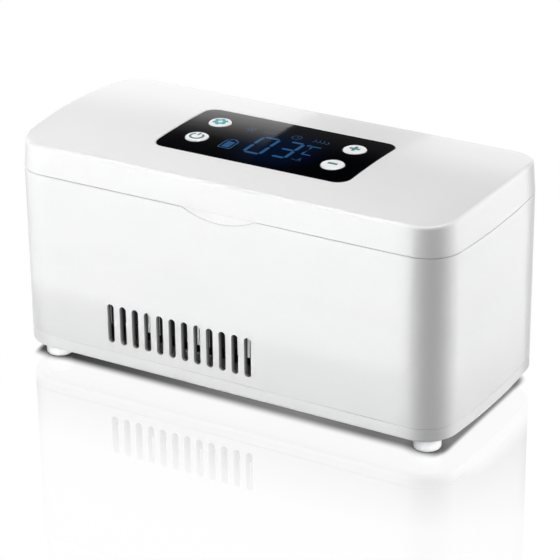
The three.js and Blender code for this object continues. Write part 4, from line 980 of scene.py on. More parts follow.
# %% Bottom cover
ENDS = ("front_left", "front_right", "rear_left", "rear_right")
BASE_EDGE = 1.2 * MM
LIP_INSET = WALL + FIT
LIP_THICKNESS = 1.5 * MM
RIM_INSET = LIP_INSET + LIP_THICKNESS
LIP_HEIGHT = 2.5 * MM
HEAD_RADIUS = 2.8 * MM
HEAD_HEIGHT = 1.7 * MM
SCREW_COUNT = 32
cover_low, cover_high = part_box("battery_cover")
PLATE_RADIUS = 2 * MM
RECESS_DEPTH = 2.1 * MM
INTAKE = {"Count": 9, "Pitch": 5.6 * MM, "Width": 3 * MM, "Reach": 0.0, "Field Radius": 28 * MM,
          "Depth": 20 * MM, "Finish": base_white}


def plate_shape(growth):
    x, y = middle_of("battery_cover")[:2]
    length, width = cover_high.x - cover_low.x, cover_high.y - cover_low.y
    return rectangle(length + 2 * growth, width + 2 * growth, PLATE_RADIUS, x, y)


def screw_circle(name):
    x, y = middle_of(name)[:2]
    return circle(HEAD_RADIUS + FIT, x, y, SCREW_COUNT)


def screw_hole(name):
    return prism(screw_circle(name), BASE_BOTTOM - PAST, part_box(name)[0].z + HEAD_HEIGHT + FIT)


def make_bottom_cover():
    seam = BASE_SEAM - FIT
    profile = fillet(BASE_EDGE, BASE_BOTTOM + BASE_EDGE, BASE_EDGE, 270, 180, 8)
    profile += fillet(PARTING_EDGE, seam - PARTING_EDGE, PARTING_EDGE, 180, 90, 3)
    profile += [(LIP_INSET, seam), (LIP_INSET, seam + LIP_HEIGHT), (RIM_INSET, seam + LIP_HEIGHT),
                (RIM_INSET, FLOOR_TOP)]
    made = piece("base_cover", loft([level(outline(inset), z) for inset, z in profile]), base_white)
    carve(made, prism(plate_shape(FIT), BASE_BOTTOM - PAST, BASE_BOTTOM + RECESS_DEPTH))
    carve(made, slot_cutters(INTAKE, Matrix.Identity(4), Vector((VENT_X, MIDDLE_Y, BASE_BOTTOM))))
    carve(made, *[screw_hole("case_screw_" + end) for end in ENDS])
    return soften(made, SOFT_EDGE)


dress(make_bottom_cover(), "case", "satin_white", "bottom_cover")

# %% Feet
FOOT_EDGE = 1.2 * MM
FOOT_TOP_EDGE = 0.4 * MM
FOOT_STEM = 2.5 * MM


def make_foot(end):
    low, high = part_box("foot_" + end)
    x, y = middle_of("foot_" + end)[:2]
    radius = (high.x - low.x) / 2
    top = BASE_BOTTOM - FIT / 2
    profile = round_edge(radius, FOOT_EDGE, FOOT_EDGE, 270, 180, 6)
    profile += round_edge(radius, top - FOOT_TOP_EDGE, FOOT_TOP_EDGE, 180, 90, 3)
    profile += [(FOOT_STEM, top), (FOOT_STEM, high.z)]
    return soften(piece("rubber_foot_" + end, turned(profile, x, y), foot_white))


for end in ENDS:
    dress(make_foot(end), "case", "foot_white", "foot_" + end)

# %% [markdown]
# ## Signs on the buttons
# Each button carries a plain printed sign: a gear, a power sign, a plus and a minus. Every sign is a set of
# flat outlines, and each outline becomes a very thin raised slab, like a print that one can just feel. Text
# objects would bring a font with them, and a picture would blur close up.

# %% Outlines for signs
SHARPEST_MITRE = 0.3
GEAR = {"teeth": 6, "ring": 1.55, "ring_width": 1.2, "root": 1.9, "tip": 2.75, "tooth_width": 1.15}


def slab(shape, points, height, thickness):
    tops = [shape.verts.new((x, y, height(x, y))) for x, y in points]
    lows = [shape.verts.new((x, y, height(x, y) - thickness)) for x, y in points]
    shape.faces.new(tops)
    shape.faces.new(lows[::-1])
    for i in range(len(points)):
        shape.faces.new((lows[i - 1], lows[i], tops[i], tops[i - 1]))


def stroke(points, width):
    points = [Vector(point) for point in points]
    left, right = [], []
    for i, point in enumerate(points):
        before = (point - points[i - 1]).normalized() if i else None
        after = (points[i + 1] - point).normalized() if i + 1 < len(points) else None
        along = ((before or after) + (after or before)).normalized()
        side = Vector((-along.y, along.x)) * width / 2 / max(SHARPEST_MITRE, along.dot(after or before))
        left.append(tuple(point + side))
        right.append(tuple(point - side))
    return right + left[::-1]


def arc_stroke(x, y, radius, width, start=0, stop=360, steps=32):
    middle = (start + stop) / 2
    halves = [(start, middle), (middle, stop)]
    return [stroke(arc(x, y, radius, math.radians(a), math.radians(b), steps // 2), width) for a, b in halves]


def pointed_bar(start, stop, width, gap):
    start, stop = Vector(start), Vector(stop)
    along = (stop - start).normalized()
    side = Vector((-along.y, along.x)) * width / 2
    start, stop = start + along * gap, stop - along * gap
    slope = along * width / 2
    corners = [start, start + slope - side, stop - slope - side,
               stop, stop - slope + side, start + slope + side]
    return [tuple(corner) for corner in corners]


def spoke(degrees):
    return Vector((math.cos(math.radians(degrees)), math.sin(math.radians(degrees))))


def gear_sign():
    outlines = arc_stroke(0, 0, GEAR["ring"], GEAR["ring_width"])
    for i in range(GEAR["teeth"]):
        out = spoke(360 / GEAR["teeth"] * (i + 0.5))
        outlines.append(stroke([out * GEAR["root"], out * GEAR["tip"]], GEAR["tooth_width"]))
    return outlines


SIGNS = {
    "settings": gear_sign(),
    "power": arc_stroke(0, -0.2, 2.15, 0.62, 125, 415) + [stroke([(0, 0.5), (0, 2.6)], 0.62)],
    "plus": [stroke([(-1.8, 0), (1.8, 0)], 1.05), stroke([(0, 0.525), (0, 1.8)], 1.05),
             stroke([(0, -1.8), (0, -0.525)], 1.05)],
    "minus": [stroke([(-2.0, 0), (2.0, 0)], 1.5)],
}
SIGN_SIZES = {"settings": 1.18, "power": 1.28, "plus": 1.27, "minus": 1.05}
print("signs", {name: len(outlines) for name, outlines in SIGNS.items()})

# %% Print the signs
SIGN_COLORS = {"teal": (0.10, 0.42, 0.52), "green": (0.05, 0.20, 0.23), "dark": (0.08, 0.16, 0.18)}
sign_paints = {name: finish("sign_" + name, color, 0.5, drift=0.06, drift_size=2 * MM, grain=0.1)
               for name, color in SIGN_COLORS.items()}
SIGN_PAINTS = {"settings": "teal", "power": "dark", "plus": "green", "minus": "green"}
SIGN_THICKNESS = 5 * PRINT


def make_sign(name):
    place = button_place(name)
    size = SIGN_SIZES[name] * MM
    shape = bmesh.new()
    for points in SIGNS[name]:
        spread = [(place.x + x * size, place.y + y * size) for x, y in points]
        slab(shape, spread, lambda x, y: place.z, SIGN_THICKNESS)
    return soften(piece("sign_" + name, shape, sign_paints[SIGN_PAINTS[name]]))


for name in BUTTONS:
    dress(make_sign(name), "button_" + name, "button_white")

# %% [markdown]
# ## Lit display
# Behind the window a blue display shows two digits of seven bars each, the sign for degrees Celsius, a
# battery sign and a row of small dim signs. They are drawn in millimetres on the lid and follow its crown.
# Each is a thin slab that gives its own light, so the display stays sharp at any distance.

# %% Digits and small signs
BARS = {"a": ((0, 1), (1, 1)), "b": ((1, 0.5), (1, 1)), "c": ((1, 0), (1, 0.5)), "d": ((0, 0), (1, 0)),
        "e": ((0, 0), (0, 0.5)), "f": ((0, 0.5), (0, 1)), "g": ((0, 0.5), (1, 0.5))}
DIGIT_BARS = {0: "abcdef", 3: "abcdg"}
BAR_WIDTH = 1.5
BAR_GAP = 0.3
BATTERY = {"line": 0.55, "neck": 0.22, "shoulder": 1.5, "slope": 0.7}
CHARGE = {"side": 1.1, "bottom": 0.9, "top": 0.8}
SNOWFLAKE = {"arms": 6, "hollow": 0.25, "line": 0.3, "fork": 0.6, "twig": 0.25, "twig_line": 0.26}
CLOCK = {"line": 0.35, "hand_line": 0.32, "long": 0.7, "long_start": 0.15, "short": 0.55, "short_start": 0.16}
WAVE = {"line": 0.35, "bend": 1.6, "spread": 40, "steps": 8}
CHEVRON_LINE = 0.4


def digit(value, left, right, bottom, top):
    inner = BAR_WIDTH / 2
    width, height = right - left - BAR_WIDTH, top - bottom - BAR_WIDTH
    outlines = []
    for bar in DIGIT_BARS[value]:
        ends = [(left + inner + x * width, bottom + inner + y * height) for x, y in BARS[bar]]
        outlines.append(pointed_bar(*ends, BAR_WIDTH, BAR_GAP))
    return outlines


def battery_sign(left, right, bottom, top):
    middle = (left + right) / 2
    neck = BATTERY["neck"] * (right - left)
    shoulder = top - BATTERY["shoulder"]
    side = [(left, bottom), (left, shoulder), (middle - neck, shoulder + BATTERY["slope"]),
            (middle - neck, top), (middle, top)]
    other = [(2 * middle - x, y) for x, y in reversed(side)]
    strokes = [stroke(line, BATTERY["line"]) for line in (side, other, [(left, bottom), (right, bottom)])]
    inner, outer = left + CHARGE["side"], right - CHARGE["side"]
    low, high = bottom + CHARGE["bottom"], shoulder - CHARGE["top"]
    return strokes + [[(inner, low), (outer, low), (outer, high), (inner, high)]]


def snowflake(x, y, radius):
    outlines = []
    centre = Vector((x, y))
    for i in range(SNOWFLAKE["arms"]):
        out = spoke(360 / SNOWFLAKE["arms"] * i)
        across = Vector((-out.y, out.x))
        arm = [centre + out * SNOWFLAKE["hollow"], centre + out * radius]
        outlines.append(stroke(arm, SNOWFLAKE["line"]))
        fork = centre + out * radius * SNOWFLAKE["fork"]
        for side in (-1, 1):
            twig = (out + across * side) * radius * SNOWFLAKE["twig"]
            outlines.append(stroke([fork, fork + twig], SNOWFLAKE["twig_line"]))
    return outlines


def chevrons(left, right, y, count, reach):
    step = (right - left) / count
    starts = [left + step * i for i in range(count)]
    return [stroke([(x, y + reach), (x + step / 2, y), (x, y - reach)], CHEVRON_LINE) for x in starts]


def waves(left, right, y, count, reach):
    step = (right - left) / count
    radius, spread = WAVE["bend"] * reach, WAVE["spread"]
    outlines = []
    for i in range(count):
        centre = left + step * i - reach
        outlines += arc_stroke(centre, y, radius, WAVE["line"], -spread, spread, WAVE["steps"])
    return outlines


def clock(x, y, radius):
    hands = [[(x, y + CLOCK["long_start"]), (x, y + radius * CLOCK["long"])],
             [(x + CLOCK["short_start"], y), (x + radius * CLOCK["short"], y)]]
    return arc_stroke(x, y, radius, CLOCK["line"]) + [stroke(hand, CLOCK["hand_line"]) for hand in hands]


FIRST_DIGIT = {"left": -8.0, "right": 0.9, "bottom": -14.6, "top": 4.1}
SECOND_DIGIT = {"left": 4.2, "right": 12.0, "bottom": -13.3, "top": 4.6}
BATTERY_BOX = {"left": -19.2, "right": -13.6, "bottom": -14.5, "top": -5.4}
DEGREE_RING = {"x": 13.7, "y": 3.5, "radius": 0.75, "width": 0.4, "steps": 16}
UNIT_LETTER, LETTER_LINE = [(19.3, 3.4), (15.4, 3.4), (15.4, -5.6), (19.3, -5.6)], 0.75
LIT = digit(0, **FIRST_DIGIT) + digit(3, **SECOND_DIGIT) + battery_sign(**BATTERY_BOX)
LIT += arc_stroke(**DEGREE_RING) + [stroke(UNIT_LETTER, LETTER_LINE)]
DIM = snowflake(x=-16.4, y=8.3, radius=2.3) + waves(left=-10.6, right=-4.6, y=8.3, count=4, reach=1.2)
DIM += clock(x=4.6, y=9.3, radius=2.1) + chevrons(left=12.6, right=20.6, y=9.5, count=4, reach=1.5)
SMALL_DASH, SMALL_ROOF = [(14.2, -12.0), (15.8, -12.0)], [(16.6, -12.8), (17.4, -10.0), (18.2, -12.8)]
SMALL_LINE = 0.45
DIM += [stroke(points, SMALL_LINE) for points in (SMALL_DASH, SMALL_ROOF)]
print("lit outlines", len(LIT), "dim outlines", len(DIM))

# %% Light the display
DISPLAY_THICKNESS = 2 * PRINT


def display_finish(name, color, light, strength):
    return finish(name, color, 0.04, drift=0.1, drift_size=6 * MM, grain=0.0,
                  Emission_Color=light, Emission_Strength=strength)


def make_display(name, outlines, paint):
    shape = bmesh.new()
    for points in outlines:
        spread = [(x * MM, MIDDLE_Y + y * MM) for x, y in points]
        slab(shape, spread, lambda x, y: lid_surface(y) - WINDOW_SINK + PRINT / 2, DISPLAY_THICKNESS)
    return soften(piece(name, shape, paint))


display_blue = display_finish("display_blue", (0.002, 0.006, 0.012), (0.022, 0.085, 0.20, 1), 1.0)
display_dim = display_finish("display_dim", (0.002, 0.004, 0.006), (0.040, 0.12, 0.22, 1), 0.55)
dress(make_display("display_lit", LIT, display_blue), "lid", "window_black")
dress(make_display("display_dim", DIM, display_dim), "lid", "window_black")

# %% [markdown]
# ## Inner finishes
# Metal, foam, rubber and boards use the same recipe with their own sizes. Brushed metal stretches the
# noise along one axis, so that it runs in fine lines.

# %% More finishes
seal_grey = finish("seal_grey", (0.23, 0.24, 0.25), 0.62, drift=0.05, grain=0.15, grain_size=0.3 * MM)
foam_white = finish("foam_white", (0.74, 0.73, 0.70), 0.9, drift=0.06, drift_size=8 * MM,
                    grain=0.6, grain_size=1.1 * MM)
chamber_metal = finish("chamber_metal", (0.57, 0.575, 0.58), 0.40, 1.0, drift=0.05, grain=0.08,
                       grain_size=0.25 * MM, stretch=(0.04, 1, 1))
# Painted shade: the sides of the fins are near black.
fin_metal = finish("fin_metal", (0.03, 0.031, 0.033), 0.42, 0.4, drift=0.04, grain=0.06,
                   grain_size=0.25 * MM, stretch=(1, 0.05, 1))
# Painted highlight: the ends of the fins, which face the slots, are bright.
cut_metal = finish("cut_metal", (0.93, 0.935, 0.94), 0.40, 0.1, drift=0.02, grain=0.1,
                   grain_size=0.15 * MM, stretch=(0.05, 1, 1))
steel = finish("steel", (0.58, 0.58, 0.59), 0.28, 1.0, drift=0.05, grain=0.05, grain_size=0.2 * MM)
fan_black = finish("fan_black", (0.012, 0.012, 0.013), 0.46, drift=0.1, grain=0.1, grain_size=0.3 * MM)
ceramic_white = finish("ceramic_white", (0.82, 0.82, 0.80), 0.55, drift=0.03, grain=0.1)
cell_blue = finish("cell_blue", (0.03, 0.10, 0.32), 0.34, drift=0.06, grain=0.05, grain_size=2 * MM)
part_black = finish("part_black", (0.016, 0.016, 0.017), 0.40, drift=0.1, grain=0.08)
lead_red = finish("lead_red", (0.45, 0.03, 0.025), 0.45, drift=0.06, grain=0.05)
LANE_SCALE = 220.0
LANE_WIDTH = 0.03
LANE_GREEN = (0.05, 0.24, 0.09, 1)


def make_board_finish():
    paint = finish("board_green", (0.015, 0.11, 0.045), 0.42, drift=0.1, grain=0.05)
    tree = paint.node_tree
    lanes = node(tree, "ShaderNodeTexBrick", {
        "Vector": node(tree, "ShaderNodeTexCoord").outputs["Object"], "Scale": LANE_SCALE,
        "Mortar Size": LANE_WIDTH, "Color1": (0, 0, 0, 1), "Color2": (0, 0, 0, 1), "Mortar": (1, 1, 1, 1)})
    return overlay(paint, lanes.outputs["Fac"], LANE_GREEN)


board_green = make_board_finish()
FINISHES = {paint.name.removesuffix("_finish"): paint for paint in (
    gloss_white, satin_white, foot_white, window_black, button_white, seal_grey, foam_white, chamber_metal,
    fin_metal, steel, fan_black, board_green, ceramic_white, cell_blue, part_black, lead_red)}
print("finishes", len(FINISHES))

# %% [markdown]
# ## Heat sink
# An extruded aluminium comb hangs over the fan, and the ends of its fins show through the slots. The comb's
# sides are painted near black as painted shade, and its ends bright as a painted highlight. The fins repeat one
# shape, so a
# small Geometry Nodes tree sets them in a row under their plate.

# %% Comb tree
FINS = {"Count": 16, "Pitch": 4.82 * MM, "Thickness": 1.2 * MM}
FIN_PLATE = 4 * MM
FIN_EDGE = 0.1 * MM
FACES_OUT = 0.9


def join(tree, *parts):
    both = node(tree, "GeometryNodeJoinGeometry")
    for part in parts:
        tree.links.new(part.outputs[0], both.inputs[0])
    return both


def make_comb_tree():
    tree, given = new_tree("fin_comb", {
        "Count": "Int", "Pitch": "Float", "Thickness": "Float", "Height": "Float", "Depth": "Float",
        "Plate Length": "Float", "Plate Height": "Float", "Finish": "Material"})
    half_span = calculate(tree, "MULTIPLY", calculate(tree, "SUBTRACT", given["Count"], 1.0), -0.5)
    start = combine(tree, X=calculate(tree, "MULTIPLY", half_span, given["Pitch"]),
                    Z=calculate(tree, "MULTIPLY", given["Height"], 0.5))
    row = node(tree, "GeometryNodeMeshLine", {
        "Count": given["Count"], "Start Location": start, "Offset": combine(tree, X=given["Pitch"])})
    fin = node(tree, "GeometryNodeMeshCube", {
        "Size": combine(tree, X=given["Thickness"], Y=given["Depth"], Z=given["Height"])})
    fins = node(tree, "GeometryNodeInstanceOnPoints", {"Points": row.outputs[0], "Instance": fin.outputs[0]})
    plate = node(tree, "GeometryNodeMeshCube", {
        "Size": combine(tree, X=given["Plate Length"], Y=given["Depth"], Z=given["Plate Height"])})
    middle = calculate(tree, "MULTIPLY", given["Plate Height"], 0.5)
    plate = node(tree, "GeometryNodeTransform", {
        "Geometry": plate.outputs[0],
        "Translation": combine(tree, Z=calculate(tree, "ADD", given["Height"], middle))})
    solid = node(tree, "GeometryNodeRealizeInstances", {"Geometry": join(tree, plate, fins).outputs[0]})
    end_tree(tree, solid.outputs[0], given["Finish"])
    return tree


def move(made, place):
    made.data.transform(Matrix.Translation(place))


def make_heat_sink():
    low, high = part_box("heat_sink")
    x, y = middle_of("heat_sink")[:2]
    made = grow("cooling_fins", make_comb_tree(), {
        **FINS, "Height": high.z - low.z - FIN_PLATE, "Depth": high.y - low.y,
        "Plate Length": high.x - low.x, "Plate Height": FIN_PLATE, "Finish": fin_metal})
    move(made, Vector((x, y, low.z)))
    made.data.materials.clear()
    # The ends that face the slots take the painted highlight, the sides the painted shade.
    for paint in (fin_metal, cut_metal):
        made.data.materials.append(paint)
    for face in made.data.polygons:
        face.material_index = 1 if abs(face.normal.y) > FACES_OUT else 0
    return soften(made, FIN_EDGE)


dress(make_heat_sink(), "case", "fin_metal", "heat_sink")

# %% [markdown]
# ## Fan
# A small fan blows air up into the comb: nine twisted blades on a hub, in a square frame with a round duct.
# Blades repeat one shape too, so a tree makes them: a flat grid is twisted from root to tip, made thick and
# copied round the axle. The hub is a turned shape, and the frame is a block with the duct cut out of it.

# %% Blade tree
BLADE_GRID = (12, 9)
MERGE_REACH = 0.001 * MM


def make_blade_tree():
    tree, given = new_tree("blade_ring", {
        "Count": "Int", "Root": "Float", "Tip": "Float", "Chord": "Float", "Thickness": "Float",
        "Root Pitch": "Float", "Tip Pitch": "Float", "Finish": "Material"})
    span = calculate(tree, "SUBTRACT", given["Tip"], given["Root"])
    sheet = node(tree, "GeometryNodeMeshGrid", {
        "Size X": span, "Size Y": given["Chord"], "Vertices X": BLADE_GRID[0], "Vertices Y": BLADE_GRID[1]})
    place = split(tree, node(tree, "GeometryNodeInputPosition").outputs[0])
    share = calculate(tree, "ADD", calculate(tree, "DIVIDE", place["X"], span), 0.5)
    easing = calculate(tree, "SUBTRACT", given["Tip Pitch"], given["Root Pitch"])
    pitch = calculate(tree, "ADD", given["Root Pitch"], calculate(tree, "MULTIPLY", easing, share))
    bent = combine(tree, X=calculate(tree, "ADD", given["Root"], calculate(tree, "MULTIPLY", span, share)),
                   Y=calculate(tree, "MULTIPLY", place["Y"], calculate(tree, "COSINE", pitch)),
                   Z=calculate(tree, "MULTIPLY", place["Y"], calculate(tree, "SINE", pitch)))
    sheet = node(tree, "GeometryNodeSetPosition", {"Geometry": sheet.outputs[0], "Position": bent})
    thick = node(tree, "GeometryNodeExtrudeMesh", {
        "Mesh": sheet.outputs[0], "Offset Scale": given["Thickness"], "Individual": False})
    back = node(tree, "GeometryNodeFlipFaces", {"Mesh": sheet.outputs[0]})
    blade = node(tree, "GeometryNodeMergeByDistance", {
        "Geometry": join(tree, back, thick).outputs[0], "Distance": MERGE_REACH})
    points = node(tree, "GeometryNodePoints", {"Count": given["Count"]})
    index = node(tree, "GeometryNodeInputIndex").outputs[0]
    angle = calculate(tree, "DIVIDE", calculate(tree, "MULTIPLY", index, 2 * math.pi), given["Count"])
    turn = node(tree, "FunctionNodeEulerToRotation", {0: combine(tree, Z=angle)})
    blades = node(tree, "GeometryNodeInstanceOnPoints", {
        "Points": points.outputs[0], "Instance": blade.outputs[0], "Rotation": turn.outputs[0]})
    solid = node(tree, "GeometryNodeRealizeInstances", {"Geometry": blades.outputs[0]})
    end_tree(tree, solid.outputs[0], given["Finish"])
    return tree


blade_tree = make_blade_tree()
print("blade tree with", len(blade_tree.nodes), "nodes")

# %% Fan rotor
FAN_HUB = 12 * MM
FAN_DUCT = 28 * MM
FAN_PLATE = 1.8 * MM
HUB_EDGE = 0.8 * MM
HUB_DIMPLE, DIMPLE_EDGE = 3 * MM, 0.4 * MM
BLADE_EDGE = 0.15 * MM
ROOT_SUNK, TIP_GAP = 0.5 * MM, 1 * MM
BLADES = {"Count": 9, "Root": FAN_HUB - ROOT_SUNK, "Tip": FAN_DUCT - TIP_GAP, "Chord": 9.2 * MM,
          "Thickness": 1.1 * MM, "Root Pitch": math.radians(40), "Tip Pitch": math.radians(26),
          "Finish": fan_black}


def joined(made, other):
    shape = bmesh.new()
    shape.from_mesh(made.data)
    shape.from_mesh(other.data)
    shape.to_mesh(made.data)
    shape.free()
    bpy.data.objects.remove(other)
    return made


def make_rotor():
    axle = Vector(joints["fan_spin"]["pos_m"])
    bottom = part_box("fan_frame")[0].z + FAN_PLATE + FIT
    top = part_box("fan_rotor")[1].z
    profile = round_edge(FAN_HUB, bottom + HUB_EDGE, HUB_EDGE, 270, 180, 4)
    profile += round_edge(FAN_HUB, top - HUB_EDGE, HUB_EDGE, 180, 90, 4)
    profile += [(HUB_DIMPLE, top), (HUB_DIMPLE - DIMPLE_EDGE, top - DIMPLE_EDGE)]
    hub = soften(piece("fan_hub", turned(profile, axle.x, axle.y), fan_black))
    blades = grow("fan_blades", blade_tree, BLADES)
    move(blades, Vector((axle.x, axle.y, (bottom + top - BLADES["Thickness"]) / 2)))
    return joined(hub, soften(blades, BLADE_EDGE))


dress(make_rotor(), "fan_rotor", "fan_black", "fan_rotor")

# %% Fan frame
FAN_CORNER = 3 * MM
FAN_BAR, BAR_CORNER = 3 * MM, 0.4 * MM
FAN_EDGE = 0.3 * MM


def make_fan_frame():
    low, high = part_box("fan_frame")
    x, y = middle_of("fan_frame")[:2]
    square = rectangle(high.x - low.x, high.y - low.y, FAN_CORNER, x, y)
    made = piece("fan_housing", prism(square, low.z, high.z), fan_black)
    carve(made, prism(circle(FAN_DUCT, x, y), low.z - PAST, high.z + PAST))
    reach = 2 * (FAN_DUCT + PAST)
    plates = [circle(FAN_HUB, x, y)]
    for length, width in ((reach, FAN_BAR), (FAN_BAR, reach)):
        plates.append(rectangle(length, width, BAR_CORNER, x, y, corner_steps=2))
    carve(made, *[prism(plate, low.z, low.z + FAN_PLATE) for plate in plates], operation="UNION")
    return soften(made, FAN_EDGE)


dress(make_fan_frame(), "case", "fan_black", "fan_frame")

# %% [markdown]
# ## Screws
# The screws that show from outside share one shape, a pan head with a cross recess. It is made once and a
# Geometry Nodes tree sets a copy at every screw place of a body, each turned by a seeded amount.

# %% Screw tree


def make_screw_tree():
    tree, given = new_tree("screws", {
        "Geometry": "Geometry", "Screw": "Object", "Seed": "Int", "Finish": "Material"})
    shape = node(tree, "GeometryNodeObjectInfo", {"Object": given["Screw"]})
    spin = node(tree, "FunctionNodeRandomValue", data_type="FLOAT")
    spin.inputs[3].default_value = 2 * math.pi
    tree.links.new(given["Seed"], spin.inputs["Seed"])
    turn = node(tree, "FunctionNodeEulerToRotation", {0: combine(tree, Z=spin.outputs[1])})
    copies = node(tree, "GeometryNodeInstanceOnPoints", {
        "Points": given["Geometry"], "Instance": shape.outputs["Geometry"], "Rotation": turn.outputs[0]})
    solid = node(tree, "GeometryNodeRealizeInstances", {"Geometry": copies.outputs[0]})
    end_tree(tree, solid.outputs[0], given["Finish"])
    return tree


screw_tree = make_screw_tree()
SCREW_SHAFT = 1.45 * MM
SCREW_EDGE = 0.06 * MM
CROSS_LENGTH, CROSS_WIDTH, CROSS_CORNER = 3.2 * MM, 0.75 * MM, 0.2 * MM
CROSS_DEPTH = 0.6


def make_screw(name, head_height, length):
    edge = head_height / 2
    profile = round_edge(HEAD_RADIUS, edge, edge, 270, 180, 5)
    profile += [(HEAD_RADIUS, head_height), (SCREW_SHAFT, head_height), (SCREW_SHAFT, head_height + length)]
    made = piece(name, turned(profile, count=SCREW_COUNT), steel)
    for length_x, length_y in ((CROSS_LENGTH, CROSS_WIDTH), (CROSS_WIDTH, CROSS_LENGTH)):
        slot = rectangle(length_x, length_y, CROSS_CORNER, corner_steps=2)
        carve(made, prism(slot, -PAST / 2, CROSS_DEPTH * head_height))
    return soften(made, SCREW_EDGE)


def set_screws(name, node_names, head_height, length, seed):
    points = bpy.data.meshes.new(name)
    points.from_pydata([(*middle_of(screw)[:2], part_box(screw)[0].z) for screw in node_names], [], [])
    template = make_screw(name + "_shape", head_height, length)
    made = grow(name, screw_tree, {"Screw": template, "Seed": seed, "Finish": steel}, points)
    bpy.data.objects.remove(template)
    return made


CASE_SCREWS = ["case_screw_" + end for end in ENDS]
LID_SCREWS = ["lid_screw_" + end for end in ENDS]
COVER_SCREWS = ["battery_cover_screw"]
SCREW_LENGTH = 6 * MM
THIN_HEAD, SHORT_SCREW = 0.6 * MM, 3 * MM
SEEDS = {"base": 3, "cover": 5, "liner": 7}
base_screws = set_screws("base_screws", CASE_SCREWS, HEAD_HEIGHT, SCREW_LENGTH, SEEDS["base"])
cover_screw = set_screws("cover_screw", COVER_SCREWS, THIN_HEAD, SHORT_SCREW, SEEDS["cover"])
liner_screws = set_screws("liner_screws", LID_SCREWS, HEAD_HEIGHT, SCREW_LENGTH, SEEDS["liner"])
dress(base_screws, "case", "steel", *CASE_SCREWS)
dress(cover_screw, "case", "steel", *COVER_SCREWS)
dress(liner_screws, "lid", "steel", *LID_SCREWS)

# %% [markdown]
# ## Battery cover
# A flat cover closes the battery room in the bottom. It has a small gap all round, soft edges and a sunk
# round hole for its screw. A slab with a bevel is all that such a cover shows.

# %% Battery cover
SUNK_HEAD = 0.9 * MM


def make_battery_cover():
    low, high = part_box("battery_cover")
    made = piece("battery_lid", prism(plate_shape(0), low.z, high.z), satin_white)
    carve(made, prism(screw_circle("battery_cover_screw"), low.z - PAST, low.z + SUNK_HEAD))
    return soften(made, SOFT_EDGE)


dress(make_battery_cover(), "case", "satin_white", "battery_cover")

# %% [markdown]
# ## Cold chamber
# Under the lid a satin deck surrounds the mouth of an aluminium tray. The tray is deep-drawn sheet, so its
# floor runs into its sides with a round, and its rim lies under the deck. One loft up the outside, over the
# rim and down the inside makes both faces. A Solidify modifier would give the floor no more than the sides.

# %% Deck and tray
tray_low, tray_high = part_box("cold_tray")
DECK_THICKNESS = 2.4 * MM
DECK_EDGE = 0.5 * MM
TRAY_SHEET = 1.2 * MM
TRAY_FLOOR = 1.5 * MM
TRAY_RIM = 2.5 * MM
RIM_SHEET = 1 * MM
ROUND_INSIDE, ROUND_OUTSIDE = 4 * MM, 5 * MM
MOUTH_EDGE, MOUTH_CHAMFER = 0.6 * MM, 0.17 * MM
CHAMBER_RADIUS = 8 * MM
CHAMBER_LENGTH = tray_high.x - tray_low.x - 2 * (TRAY_SHEET + TRAY_RIM)
CHAMBER_WIDTH = tray_high.y - tray_low.y - 2 * (TRAY_SHEET + TRAY_RIM)


def chamber(growth):
    return rectangle(CHAMBER_LENGTH + 2 * growth, CHAMBER_WIDTH + 2 * growth, CHAMBER_RADIUS + growth,
                     y=MIDDLE_Y)


def chamber_loft(profile, closed=False):
    return loft([level(chamber(growth), z) for growth, z in profile], closed)


def make_deck():
    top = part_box("deck_frame")[1].z
    bottom = top - DECK_THICKNESS
    made = piece("deck_plate", prism(outline(LIP_INSET), bottom, top), satin_white)
    carve(made, prism(chamber(0), bottom - PAST, top + PAST))
    return soften(made, DECK_EDGE, segments=3)


def make_tray():
    low, top = tray_low.z, tray_high.z
    rim = TRAY_SHEET + TRAY_RIM
    profile = round_edge(TRAY_SHEET, low + ROUND_OUTSIDE, ROUND_OUTSIDE, 270, 180, 6)
    profile += [(TRAY_SHEET, top - RIM_SHEET), (rim, top - RIM_SHEET), (rim, top)]
    profile += [(MOUTH_EDGE, top), (MOUTH_CHAMFER, top - MOUTH_CHAMFER), (0, top - MOUTH_EDGE)]
    profile += round_edge(0, low + TRAY_FLOOR + ROUND_INSIDE, ROUND_INSIDE, 180, 270, 6)
    return soften(piece("tray_shell", chamber_loft(profile), chamber_metal))


dress(make_deck(), "case", "satin_white", "deck_frame")
dress(make_tray(), "case", "chamber_metal", "cold_tray")

# %% [markdown]
# ## Lid liner and seal
# Inside the lid a satin liner carries a shallow plug that drops into the chamber's mouth. A soft grey seal
# runs round the plug; its lower edge is rounded where it meets the deck. The plug is joined to the plate with
# a boolean, so that both are one moulding, and the seal is a closed profile swept round the plug.

# %% Liner and seal
gasket_low, gasket_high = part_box("lid_gasket")
PLUG_GAP = 1.5 * MM
PLUG_EDGE = 1.2 * MM
PANEL_BORDER, PANEL_DEPTH = 5 * MM, 0.5 * MM
GASKET_WIDTH = 4 * MM
GASKET_BULGE, GASKET_STEPS = 0.8, 14
MAGNET_BOSS = 3.6 * MM


def make_liner():
    low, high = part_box("lid_liner")
    face = gasket_high.z + FIT
    made = piece("liner_plate", prism(outline(LIP_INSET), face, high.z), satin_white)
    plug = round_edge(-PLUG_GAP, low.z + PLUG_EDGE, PLUG_EDGE, 270, 180, 6) + [(-PLUG_GAP, face + PAST)]
    carve(made, chamber_loft(plug), operation="UNION")
    carve(made, prism(chamber(-PLUG_GAP - PANEL_BORDER), low.z - PAST, low.z + PANEL_DEPTH))
    boss = circle(MAGNET_BOSS, *middle_of("lid_magnet")[:2])
    carve(made, prism(boss, gasket_low.z, face + PAST), operation="UNION")
    for side in (-1, 1):
        left_lug, right_lug = hinge_spans(side)[0]
        carve(made, barrel_room(left_lug[0], right_lug[1]))
    return soften(made, SOFT_EDGE)


